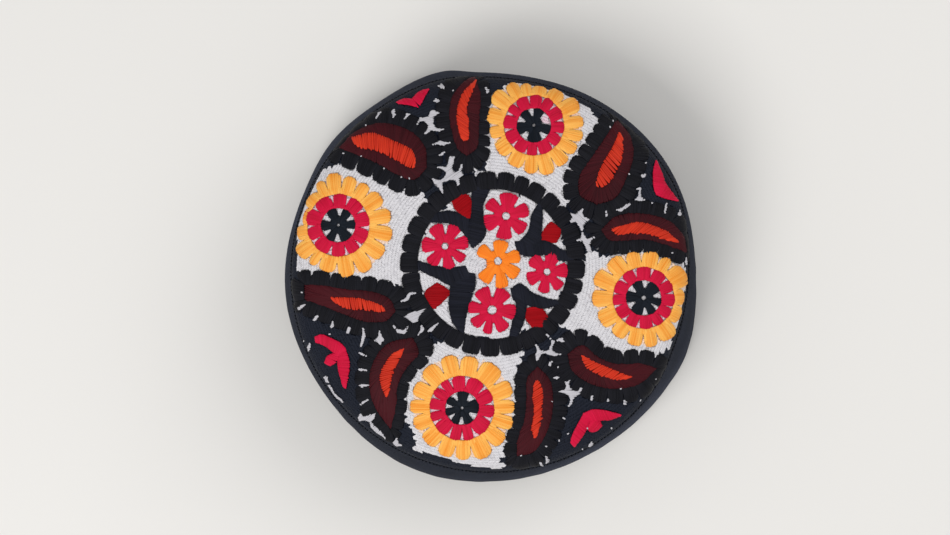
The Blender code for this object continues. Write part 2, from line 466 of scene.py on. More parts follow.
def build_mesh(name, corners, quads, triangles, materials, tones=None, uvs=None, face_material=None):
    """Put arrays of corners and faces into one smooth mesh object, with a tone and a UV for each corner."""
    mesh = bpy.data.meshes.new(name)
    quads = np.asarray(quads, dtype=np.int32).reshape(-1, 4)
    triangles = np.asarray(triangles, dtype=np.int32).reshape(-1, 3)
    around = np.concatenate([quads.ravel(), triangles.ravel()])
    starts = np.concatenate([
        np.arange(len(quads)) * 4,
        len(quads) * 4 + np.arange(len(triangles)) * 3,
    ]).astype(np.int32)
    mesh.vertices.add(len(corners))
    mesh.vertices.foreach_set("co", np.ascontiguousarray(corners, dtype=np.float32).ravel())
    mesh.loops.add(len(around))
    mesh.loops.foreach_set("vertex_index", around)
    mesh.polygons.add(len(starts))
    mesh.polygons.foreach_set("loop_start", starts)
    mesh.polygons.foreach_set("use_smooth", np.ones(len(starts), dtype=bool))
    if face_material is not None:
        mesh.polygons.foreach_set("material_index", np.asarray(face_material, dtype=np.int32))
    if tones is not None:
        tone = mesh.attributes.new("tone", "FLOAT", "POINT")
        tone.data.foreach_set("value", np.ascontiguousarray(tones, dtype=np.float32).ravel())
    if uvs is not None:
        layer = mesh.uv_layers.new(name="UVMap")
        layer.data.foreach_set("uv", np.ascontiguousarray(uvs[around], dtype=np.float32).ravel())
    for material in materials:
        mesh.materials.append(material)
    mesh.update(calc_edges=True)
    mesh.validate()
    piece = bpy.data.objects.new(name, mesh)
    bpy.context.scene.collection.objects.link(piece)
    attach(piece, "root")
    return piece


Threads = namedtuple("Threads", "corners quads triangles tones uvs")


def thread_tubes(route, normal, along, width, thick, tone):
    """Round-ended threads along many short routes at once.

    Each ring is an oval: half the width along the side vector times the cosine,
    plus half the thickness along the normal times the sine. Both shrink to a
    point at the thread's two ends as the root of one less the eighth power.
    """
    count, stations = route.shape[:2]
    taper = np.sqrt(np.maximum(1.0 - np.abs(2.0 * along - 1.0) ** 8, 0.0))
    tangent = unit(np.gradient(route, axis=1))
    side = unit(np.cross(normal, tangent))
    turn = 2.0 * math.pi * (np.arange(THREAD_SIDES) + 0.25) / THREAD_SIDES
    half_width = 0.5 * width[:, None] * taper
    half_thick = 0.5 * thick[:, None] * taper
    rings = (
        route[:, :, None, :]
        + side[:, :, None, :] * (half_width[:, :, None] * np.cos(turn))[..., None]
        + normal[:, :, None, :] * (half_thick[:, :, None] * np.sin(turn))[..., None]
    )
    inner = rings[:, 1:-1].reshape(count, -1, 3)
    corners = np.concatenate([route[:, :1], inner, route[:, -1:]], axis=1)
    ring_count = stations - 2
    each = corners.shape[1]
    ring, spoke = np.meshgrid(np.arange(ring_count - 1), np.arange(THREAD_SIDES), indexing="ij")
    spoke_next = (spoke + 1) % THREAD_SIDES
    here = 1 + ring * THREAD_SIDES
    there = here + THREAD_SIDES
    quad = np.stack([here + spoke, here + spoke_next, there + spoke_next, there + spoke], axis=-1)
    edge = np.arange(THREAD_SIDES)
    edge_next = (edge + 1) % THREAD_SIDES
    last = 1 + (ring_count - 1) * THREAD_SIDES
    start_cap = np.stack([np.zeros_like(edge), 1 + edge_next, 1 + edge], axis=-1)
    end_cap = np.stack([np.full_like(edge, each - 1), last + edge, last + edge_next], axis=-1)
    cap = np.concatenate([start_cap, end_cap])
    offset = (np.arange(count) * each)[:, None, None]
    length = np.linalg.norm(route[:, -1] - route[:, 0], axis=-1)
    v_ring = np.repeat(along[1:-1], THREAD_SIDES)
    v_all = np.concatenate([[0.0], v_ring, [1.0]])[None, :] * length[:, None] / TWIST_LENGTH
    u_all = np.concatenate([[0.5], np.tile(edge / THREAD_SIDES, ring_count), [0.5]])
    uvs = np.stack([np.broadcast_to(u_all, v_all.shape), v_all], axis=-1)
    return Threads(
        corners.reshape(-1, 3),
        (quad.reshape(-1, 4)[None] + offset).reshape(-1, 4),
        (cap[None] + offset).reshape(-1, 3),
        np.repeat(tone, each),
        uvs.reshape(-1, 2),
    )


# Stitches: where each starts and ends, and how much of its block's padding lifts it
Stitches = namedtuple("Stitches", "starts ends pad")


def gather(stitches):
    """Several sets of stitches as one."""
    return Stitches(
        np.concatenate([part.starts for part in stitches]),
        np.concatenate([part.ends for part in stitches]),
        np.concatenate([part.pad for part in stitches]),
    )


def on_cloth(stitches):
    """Stitches drawn on the chart, on the flat cloth.

    The camera sees the crown's shoulder from above, so a thread there comes out
    far longer than its chart length. Its far end is drawn back to a limit, as
    shares of the chart length: the free stretch, plus the shoulder's stretch times
    the root of what the thread has past the free one.
    """
    starts = cloth_from_chart(stitches.starts)
    ends = cloth_from_chart(stitches.ends)
    drawn = np.linalg.norm(stitches.ends - stitches.starts, axis=1) / SQUARES_PER_METRE
    length = np.linalg.norm(ends - starts, axis=1)
    excess = np.maximum(length / np.maximum(drawn, 1e-6) - FREE_STRETCH, 0.0)
    limit = drawn * (FREE_STRETCH + SHOULDER_STRETCH * np.sqrt(excess))
    share = np.minimum(1.0, limit / np.maximum(length, 1e-9))
    return Stitches(starts, starts + (ends - starts) * share[:, None], stitches.pad)


def cut_at_seam(starts, ends):
    """The part of each stitch inside the seam, and which stitches have one.

    A stitch crosses the seam's circle at the share that solves the square
    equation of the distance from the middle, and is cut there.
    """
    radius = CLOTH_RADIUS - SEAM_MARGIN
    step = ends - starts
    a = (step ** 2).sum(axis=1)
    b = (starts * step).sum(axis=1)
    c = (starts ** 2).sum(axis=1) - radius ** 2
    root = np.sqrt(np.maximum(b ** 2 - a * c, 0.0))
    first = np.clip((-b - root) / a, 0.0, 1.0)
    last = np.clip((-b + root) / a, 0.0, 1.0)
    keep = (b ** 2 > a * c) & ((last - first) * np.sqrt(a) > SHORTEST_THREAD)
    return starts + step * first[:, None], starts + step * last[:, None], keep


def thread_piece(name, threads, material):
    """One piece of threads."""
    piece = build_mesh(
        name, threads.corners, threads.quads, threads.triangles, [material], threads.tones, threads.uvs,
    )


# The paths and the material of each layer laid so far, from which the ground and the cloth's back are found
LAID = []


def lay_threads(name, stitches, material, lift, seed, rings=LONG_RINGS, width=THREAD_WIDTH,
                thick=THREAD_THICK, bow=THREAD_BOW, jitter=END_JITTER, cover=True):
    """Lay stitches over the crown as one piece of threads.

    A thread runs straight on the flat cloth and follows the dome at its lift,
    plus its block's padding and a bow of four times share times one less share.
    Threads at a block's sides are paler than those in its padded middle: half of a thread's tone is random,
    and half is a painted highlight along the sides of the block.
    """
    random = np.random.default_rng(seed)
    starts = stitches.starts + random.normal(0.0, 0.5 * jitter, stitches.starts.shape)
    ends = stitches.ends + random.normal(0.0, jitter, stitches.ends.shape)
    starts, ends, keep = cut_at_seam(starts, ends)
    starts, ends, pad = starts[keep], ends[keep], stitches.pad[keep]
    along = np.concatenate(([0.0], rings, [1.0]))
    path = starts[:, None] + (ends - starts)[:, None] * along[None, :, None]
    point, normal = crown_frame(path)
    count = len(starts)
    rise = lift + pad[:, None] * BLOCK_PAD + bow * 4.0 * along * (1.0 - along)
    rise = rise + random.normal(0.0, LIFT_JITTER, (count, 1)) - CLOTH_SUNK
    route = point + normal * rise[..., None]
    widths = width * random.uniform(0.9, 1.1, count)
    thicks = np.full(count, thick)
    # Half of each tone is random; half is a painted highlight that makes threads paler where the block's
    # padding is low, at its sides.
    tones = 0.5 * random.uniform(0.0, 1.0, count) + 0.5 * (1.0 - pad)
    thread_piece(name, thread_tubes(route, normal, along, widths, thicks, tones), material)
    if cover:
        LAID.append((path, material))


def evenly(line, count):
    """Places spaced evenly along a line of many points."""
    lengths = np.linalg.norm(np.diff(line, axis=0), axis=1)
    arc = np.concatenate(([0.0], np.cumsum(lengths)))
    spots = np.linspace(0.0, arc[-1], count)
    return np.stack([np.interp(spots, arc, line[:, i]) for i in range(2)], axis=-1)


def smooth_line(points):
    """A rounded line through given points, as 201 places even along its length.

    Between two points it is a cubic whose slope at each is that of the line
    between that point's neighbours.
    """
    points = np.asarray(points, dtype=float)
    knots = np.vstack([2.0 * points[0] - points[1], points, 2.0 * points[-1] - points[-2]])
    p0, p1, p2, p3 = (knots[i:len(knots) - 3 + i, None] for i in range(4))
    t = np.linspace(0.0, 1.0, 24, endpoint=False)[None, :, None]
    curve = 0.5 * (
        2.0 * p1 + (p2 - p0) * t
        + (2.0 * p0 - 5.0 * p1 + 4.0 * p2 - p3) * t ** 2
        + (3.0 * p1 - p0 - 3.0 * p2 + p3) * t ** 3
    )
    return evenly(np.vstack([curve.reshape(-1, 2), points[-1]]), 201)


def at_share(line, share):
    """The place at a share of the way along a line, by its numbering."""
    spots = np.linspace(0.0, 1.0, len(line))
    return np.stack([np.interp(share, spots, line[:, i]) for i in range(2)], axis=-1)


def cloth_arc(line):
    """Length on the cloth from a chart line's first place to each of its places."""
    steps = np.linalg.norm(np.diff(cloth_from_chart(line), axis=0), axis=1)
    return np.concatenate(([0.0], np.cumsum(steps)))


def satin_fill(side_a, side_b, slant, pitch=PITCH):
    """Threads from one side of a shape to the other, a pitch apart, with the far end moved on by the slant.

    The middle of the shape is padded: one less the square of the distance from the middle.
    """
    line_a = smooth_line(side_a)
    line_b = smooth_line(side_b)
    arc = cloth_arc(0.5 * (line_a + line_b))
    count = max(3, round(arc[-1] / pitch))
    share = np.interp((np.arange(count) + 0.5) / count * arc[-1], arc, np.linspace(0.0, 1.0, len(arc)))
    starts = at_share(line_a, np.clip(share - 0.5 * slant, 0.0, 1.0))
    ends = at_share(line_b, np.clip(share + 0.5 * slant, 0.0, 1.0))
    return Stitches(starts, ends, 1.0 - (2.0 * share - 1.0) ** 2)


def closed(line):
    """A line with its first place added again at its end."""
    return np.vstack([line, line[:1]])


def satin_blocks(inner, outer, gaps, block_end):
    """Threads from an inner closed line of the chart to an outer one, gathered into blocks between gaps.

    The gaps are shares of the way round. The pitch is kept on a line that lies
    0.65 of the way from the inner to the outer. Across a block, the far ends are
    drawn towards its middle by the squeeze. Their line is a full oval of the
    power, which falls back by the depth at the block's two sides. A merged share
    above 0 adds threads without gaps over that share of the way out.
    """
    depth, power, squeeze, merged = block_end
    inner = closed(inner)
    outer = closed(outer)
    arc = cloth_arc(0.35 * inner + 0.65 * outer)
    count = round(arc[-1] / PITCH)
    share = np.interp((np.arange(count) + 0.5) / count * arc[-1], arc, np.linspace(0.0, 1.0, len(arc)))
    gaps = np.sort(np.asarray(gaps) % 1.0)
    after = np.searchsorted(gaps, share)
    low = np.concatenate([[gaps[-1] - 1.0], gaps])[after]
    high = np.concatenate([gaps, [gaps[0] + 1.0]])[after]
    centre = 0.5 * (low + high)
    across = (share - low) / (high - low) * 2.0 - 1.0
    starts = at_share(inner, share % 1.0)
    far = at_share(outer, (centre + (share - centre) * squeeze) % 1.0)
    oval = (1.0 - np.abs(across) ** power) ** (1.0 / power)
    ends = starts + (far - starts) * (1.0 - depth * (1.0 - oval))[:, None]
    blocks = Stitches(starts, ends, 1.0 - across ** 2)
    if merged == 0.0:
        return blocks
    root_ends = starts + (at_share(outer, share % 1.0) - starts) * merged
    return gather([Stitches(starts, root_ends, np.full(count, 0.5)), blocks])


# Directions of a closed line's places round a chart square, in degrees
ROUND_DEGREES = 0.5 * np.arange(720.0)


def polar_line(x, y, reach):
    """A closed line round a chart square, at a reach that may differ from place to place."""
    turn = np.radians(ROUND_DEGREES)
    return np.stack([x + reach * np.cos(turn), y - reach * np.sin(turn)], axis=-1)


# Rings of satin blocks about a chart square. Each block follows a gap, at an angle in degrees anticlockwise
# from the right, and has its own reach in squares.
Ring = namedtuple("Ring", "x y inner blocks")


def ring_outline(ring):
    """The gaps of a ring in degrees, and the closed line along its blocks' ends."""
    order = sorted((gap % 360.0, reach) for gap, reach in ring.blocks)
    gaps = np.array([gap for gap, _ in order])
    reaches = np.array([reach for _, reach in order], dtype=float)
    block = np.searchsorted(gaps, ROUND_DEGREES, side="right") - 1
    return gaps, polar_line(ring.x, ring.y, reaches[block])


def ring_stitches(rings, block_end):
    """The threads of some rings of blocks."""
    parts = []
    for ring in rings:
        gaps, outer = ring_outline(ring)
        inner = polar_line(ring.x, ring.y, ring.inner)
        parts.append(satin_blocks(inner, outer, gaps / 360.0, block_end))
    return gather(parts)


def alike(gaps, reach):
    """Blocks of one reach after each of some gaps."""
    return tuple((gap, reach) for gap in gaps)


# The four suns, north, west, east and south
SUN_STARS = (
    Ring(534, 125, 1.5, ((102, 18), (40, 18), (12, 9), (-45, 18), (-131, 18), (155, 18))),
    Ring(338, 225, 1.5, alike((85, 28, -21, -94, -148, 148), 18)),
    Ring(643.5, 298, 2.2, alike((86, 6, -38, -82, -152, 143), 18.5)),
    Ring(462, 408, 1.5, alike((125, 48, -36, -93, -141, 172), 17.5)),
)
SUN_CRIMSON = (
    Ring(534, 125, 17.0, alike((100, 71, 45, 9, -20, -48, -81, -107, -137, -170, 155, 131), 31)),
    Ring(338, 225, 17.0, alike((104, 70, 31, -6, -42, -74, -106, -147, -178), 32) + ((145, 36.5),)),
    Ring(643.5, 298, 17.5, alike((108, 72, 39, 11, -20, -46, -69, -101, -132, -163, 172, 139), 31.5)),
    Ring(462, 408, 16.5, alike((112, 80, 42, 8, -21, -64, -90, -117, -152, -174, 158, 136), 33)),
)
SUN_MARIGOLD = (
    Ring(534, 125, 30.0, (
        (-159, 45), (-130, 46.5), (-104, 49), (-84, 52), (-63, 50), (-41, 49.5), (-22, 50.5), (-5, 50),
        (14, 50), (40, 44), (67, 41), (94, 44), (110, 49), (129, 52), (154, 48.5), (179, 45),
    )),
    Ring(338, 225, 31.0, (
        (-157, 50), (-131, 48), (-118, 48.5), (-92, 53), (-68, 55), (-46, 54), (-21, 55.5), (0, 54),
        (22, 52), (47, 50), (65, 50.5), (85, 53), (106, 48), (121, 42), (149, 37), (180, 43),
    )),
    Ring(643.5, 298, 30.5, (
        (-167, 50), (-138, 47.5), (-113, 49), (-90, 50), (-71, 49), (-42, 41.5), (-12, 41.5), (14, 49),
        (49, 47), (67, 47.5), (93, 47.5), (115, 51), (143, 54), (168, 52),
    )),
    Ring(462, 408, 32.0, (
        (-172, 51), (-150, 50), (-122, 51.5), (-99, 52), (-78, 55), (-52, 53.5), (-28, 53.5), (-8, 53),
        (11, 54), (36, 54.5), (68, 52.5), (93, 54.5), (118, 54.5), (144, 52.5), (168, 52.5),
    )),
)

# The medallion's ring of square-ended blocks and its five flowers
MEDALLION = (
    Ring(492.5, 264.0, 74.5, alike((
        101, 87, 75, 65, 53, 41, 28, 15, 3, -10, -20, -31, -43, -52, -61, -70, -85,
        -98, -111, -123, -134, -146, -159, -174, 172, 160, 147, 136, 126, 114,
    ), 93)),
)
CRIMSON_FLOWERS = (
    Ring(506, 216, 4.0, alike((117, 45, -10, -65, -127, 168), 24)),
    Ring(445, 246, 3.5, alike((87, 35, -15, -55, -104, -155, 147), 24)),
    Ring(547, 272, 3.5, alike((105, 37, -26, -74, -126, 170), 21.5)),
    Ring(492, 310, 4.5, alike((88, 25, -34, -83, -120, -165, 150), 24.5)),
)
ORANGE_FLOWER = (
    Ring(498, 261, 4.0, (
        (47, 21.5), (113, 11), (121, 23.5), (172, 12), (-154, 26), (-102, 28), (-60, 25), (-12, 23),
        (40, 11),
    )),
)

# Shapes filled from side to side: two lines of squares, each from one end to the other
Leaf = namedtuple("Leaf", "side_a side_b")
BRACKETS = (
    Leaf(((471, 186), (471, 205), (470, 217), (466, 230), (468, 241), (473, 248)),
         ((492, 186), (484, 205), (484, 217), (487, 229), (484, 239), (474, 248))),
    Leaf(((424, 212), (436, 212), (448, 210), (460, 213), (474, 220)),
         ((424, 223), (438, 223), (452, 225), (462, 232), (470, 244))),
    Leaf(((538, 203), (531, 215), (528, 230), (519, 241), (514, 246)),
         ((543, 203), (543, 218), (542, 232), (541, 244), (530, 254))),
    Leaf(((515, 241), (526, 240), (545, 240), (560, 248), (574, 254)),
         ((517, 253), (528, 257), (545, 256), (560, 261), (574, 262))),
    Leaf(((511, 288), (520, 283), (532, 292), (547, 298), (561, 301)),
         ((512, 300), (521, 303), (532, 307), (546, 309), (561, 304))),
    Leaf(((510, 288), (516, 306), (512, 321), (508, 340)),
         ((527, 296), (527, 308), (524, 322), (517, 340))),
    Leaf(((417, 260), (434, 265), (450, 267), (466, 265)),
         ((417, 270), (436, 278), (452, 286), (472, 282))),
    Leaf(((451, 272), (449, 288), (448, 305), (452, 322), (462, 334)),
         ((476, 272), (476, 287), (470, 304), (466, 320), (464, 334))),
)
BUDS = (
    Leaf(((451, 201), (455, 210), (467, 219)), ((461, 192), (471, 197), (472, 217))),
    Leaf(((551, 221), (543, 230), (538, 242)), ((551, 221), (562, 231), (557, 243))),
    Leaf(((526, 308), (525, 319), (536, 332)), ((541, 306), (549, 319), (538, 332))),
    Leaf(((436, 283), (424, 293), (432, 308)), ((438, 283), (451, 293), (436, 308))),
)
TULIPS = (
    Leaf(((396, 101), (404, 98), (413, 98)), ((398, 103), (408, 105), (418, 107))),
    Leaf(((412, 97), (419, 91), (428, 88)), ((420, 106), (425, 97), (429, 89))),
    Leaf(((656, 160), (653, 170), (653, 185), (656, 195)),
         ((657, 161), (661, 170), (664, 178), (667, 194))),
    Leaf(((656, 195), (665, 199), (679, 201)), ((664, 178), (668, 186), (673, 193), (679, 200))),
    Leaf(((315, 336), (322, 334), (330, 337), (340, 342), (347, 349)),
         ((314, 342), (322, 345), (330, 350), (336, 356), (338, 360))),
    Leaf(((337, 352), (337, 360), (338, 370), (341, 380), (343, 388)),
         ((345, 346), (350, 362), (349, 375), (346, 388))),
    Leaf(((324, 362), (327, 356), (333, 353)), ((330, 366), (336, 363), (340, 356))),
    Leaf(((585, 412), (592, 409), (605, 410), (621, 415)),
         ((588, 425), (600, 421), (610, 420), (621, 416))),
    Leaf(((583, 413), (577, 424), (572, 434), (570, 444)),
         ((592, 416), (586, 431), (580, 440), (575, 447))),
    Leaf(((586, 428), (590, 432), (597, 431)), ((592, 420), (599, 420), (602, 425))),
)

# Pepper pods: the vermilion core and the maroon ring round it, each as two sides from tail to head, the
# black teeth's length in squares on each side and at the head, and the squares of the gaps between them
Pod = namedtuple("Pod", "core_a core_b ring_a ring_b tooth_a tooth_b tooth_head gaps")
PODS = (
    Pod(((352, 136), (372, 132), (394, 140), (411, 148), (416, 158), (414, 169)),
        ((352, 138), (359, 147), (379, 152), (397, 161), (408, 169), (414, 169)),
        ((338, 147), (354, 131), (380, 122), (408, 129), (425, 146), (427, 168)),
        ((338, 148), (357, 155), (376, 163), (396, 174), (414, 180), (427, 168)),
        15.5, 16.5, 16,
        ((345, 128), (362, 118), (378, 116), (393, 114), (407, 117), (421, 122), (428, 131),
         (437, 143), (442, 153), (437, 164), (433, 181), (421, 189), (404, 188), (388, 181),
         (372, 175), (355, 168), (338, 163), (326, 152))),
    Pod(((476, 79), (463, 92), (457, 108), (457, 125), (460, 138), (466, 142)),
        ((476, 79), (471, 95), (467, 108), (469, 125), (470, 138), (466, 142)),
        ((474, 70), (454, 92), (449, 112), (452, 132), (458, 149), (467, 156)),
        ((474, 70), (481, 95), (480, 112), (479, 132), (477, 148), (467, 156)),
        14.0, 10.5, 18,
        ((450, 76), (444, 87), (440, 98), (441, 112), (443, 128), (445, 143), (446, 153),
         (453, 162), (463, 167), (474, 167), (482, 161), (487, 147), (487, 135), (486, 120),
         (487, 106), (486, 90), (488, 78))),
    Pod(((619, 132), (612, 147), (604, 160), (598, 173), (595, 184), (597, 188)),
        ((619, 132), (623, 146), (621, 162), (614, 177), (605, 187), (597, 188)),
        ((617, 118), (605, 137), (591, 158), (579, 177), (580, 196), (597, 205)),
        ((617, 118), (630, 134), (634, 155), (627, 178), (616, 198), (597, 205)),
        15.5, 15.0, 17,
        ((604, 112), (597, 122), (596, 133), (590, 146), (581, 157), (573, 170), (569, 184),
         (573, 199), (582, 210), (594, 213), (606, 213), (618, 209), (628, 200), (637, 189),
         (644, 175), (646, 162), (645, 147), (640, 132), (628, 118))),
    Pod(((679, 242), (668, 232), (655, 226), (640, 222), (622, 225), (609, 229)),
        ((679, 242), (662, 239), (645, 234), (630, 234), (617, 236), (609, 229)),
        ((688, 254), (684, 236), (668, 220), (640, 213), (616, 216), (601, 230)),
        ((688, 254), (668, 246), (645, 240), (625, 241), (609, 240), (601, 230)),
        13.5, 13.5, 17,
        ((692, 230), (678, 212), (664, 208), (652, 204), (639, 203), (628, 205), (618, 209),
         (606, 213), (594, 222), (589, 235), (598, 248), (608, 256), (619, 256), (630, 255),
         (643, 250), (657, 252), (671, 255), (684, 262))),
    Pod(((331, 297), (345, 297), (360, 298), (374, 302), (383, 306), (386, 313)),
        ((331, 298), (342, 307), (355, 310), (370, 311), (380, 313), (386, 313)),
        ((303, 284), (322, 285), (345, 289), (370, 291), (389, 298), (396, 311)),
        ((303, 300), (320, 305), (345, 315), (366, 322), (386, 321), (396, 311)),
        14.5, 15.5, 18,
        ((294, 275), (311, 277), (329, 283), (344, 283), (361, 284), (377, 284), (393, 289),
         (407, 296), (412, 308), (407, 318), (400, 328), (380, 335), (363, 335), (347, 329),
         (331, 324), (314, 318), (302, 308), (292, 296))),
    Pod(((386, 397), (380, 384), (380, 374), (385, 363), (392, 354), (406, 347)),
        ((386, 397), (390, 387), (393, 375), (397, 364), (403, 354), (406, 347)),
        ((391, 431), (375, 408), (369, 385), (373, 362), (388, 343), (413, 337)),
        ((391, 431), (396, 408), (398, 386), (407, 368), (419, 353), (413, 337)),
        14.5, 11.0, 18,
        ((397, 440), (382, 430), (371, 419), (362, 403), (361, 386), (361, 369), (363, 354),
         (363, 341), (379, 335), (400, 329), (420, 329), (433, 336), (427, 357), (417, 369),
         (406, 381), (406, 399), (407, 416), (409, 434))),
    Pod(((534, 438), (531, 428), (534, 412), (532, 396), (533, 384), (538, 379)),
        ((534, 438), (539, 428), (542, 412), (543, 396), (542, 384), (538, 379)),
        ((516, 457), (517, 440), (524, 420), (526, 398), (527, 378), (538, 366)),
        ((516, 457), (534, 452), (547, 432), (553, 408), (551, 382), (538, 366)),
        12.0, 14.5, 14.5,
        ((511, 468), (504, 458), (511, 442), (515, 429), (516, 415), (515, 401), (513, 386),
         (516, 371), (522, 356), (537, 353), (550, 357), (557, 366), (561, 378), (563, 391),
         (565, 405), (565, 418), (566, 433), (558, 441), (547, 447), (546, 460), (530, 466))),
    Pod(((632, 377), (620, 372), (605, 366), (592, 360), (583, 354), (580, 355)),
        ((632, 377), (615, 379), (600, 376), (588, 369), (582, 361), (580, 355)),
        ((658, 368), (640, 363), (618, 364), (598, 357), (582, 345), (567, 354)),
        ((658, 368), (640, 384), (615, 389), (590, 384), (572, 371), (567, 354)),
        14.0, 15.0, 20,
        ((672, 360), (656, 354), (639, 353), (623, 351), (604, 346), (588, 337), (574, 334),
         (562, 340), (555, 353), (556, 366), (556, 378), (566, 392), (579, 395), (592, 398),
         (607, 400), (624, 403), (640, 400), (656, 388), (670, 376))),
)

# Where the ground is white: the fields round the four suns, through the roots of the teeth along them.
# The medallion's inside is white too, and all other ground is navy.
WHITE_FIELDS = (
    ((503, 84), (508, 81), (520, 81), (545, 86), (562, 91), (575, 97), (590, 107), (601, 120),
     (603, 124), (604, 137), (590, 158), (578, 176), (572, 190), (572, 199), (569, 204), (566, 208),
     (561, 207), (547, 209), (532, 197), (519, 191), (506, 187), (492, 186), (479, 187), (476, 178),
     (472, 170), (472, 164), (477, 170), (484, 170), (485, 160), (480, 150), (480, 130), (481, 110),
     (482, 100), (488, 92), (494, 94), (500, 90)),
    ((320, 170), (327, 165), (333, 164), (339, 161), (350, 160), (360, 163), (376, 170), (394, 181),
     (412, 187), (419, 185), (424, 192), (428, 200), (430, 214), (424, 226), (417, 240), (414, 255),
     (414, 270), (416, 283), (406, 289), (399, 285), (396, 289), (375, 287), (350, 285), (325, 285),
     (311, 283), (300, 280), (295, 272), (295, 258), (295, 240), (298, 222), (303, 206), (309, 192),
     (316, 178)),
    ((684, 262), (687, 268), (687, 285), (684, 302), (681, 318), (676, 332), (671, 348), (664, 353),
     (655, 358), (640, 356), (625, 358), (605, 352), (590, 342), (584, 336), (578, 334), (573, 337),
     (571, 331), (562, 330), (556, 326), (560, 318), (566, 305), (570, 290), (571, 275), (571, 262),
     (578, 260), (584, 259), (587, 250), (592, 250), (596, 250), (599, 248), (600, 253), (606, 257),
     (612, 253), (625, 250), (645, 246), (660, 248), (672, 251)),
    ((410, 449), (415, 452), (430, 456), (440, 459), (455, 463), (470, 467), (485, 469), (500, 470),
     (512, 467), (505, 464), (500, 460), (507, 456), (504, 450), (508, 443), (513, 441), (516, 430),
     (519, 415), (520, 400), (518, 388), (519, 375), (517, 370), (523, 360), (525, 352), (521, 346),
     (516, 350), (507, 341), (492, 342), (475, 340), (461, 336), (452, 331), (447, 336), (444, 342),
     (437, 340), (428, 346), (424, 357), (417, 364), (413, 368), (404, 380), (404, 400), (404, 416),
     (407, 428), (412, 432), (415, 442)),
)
MEDALLION_FIELD = 76.0     # reach of the medallion's white ground in squares

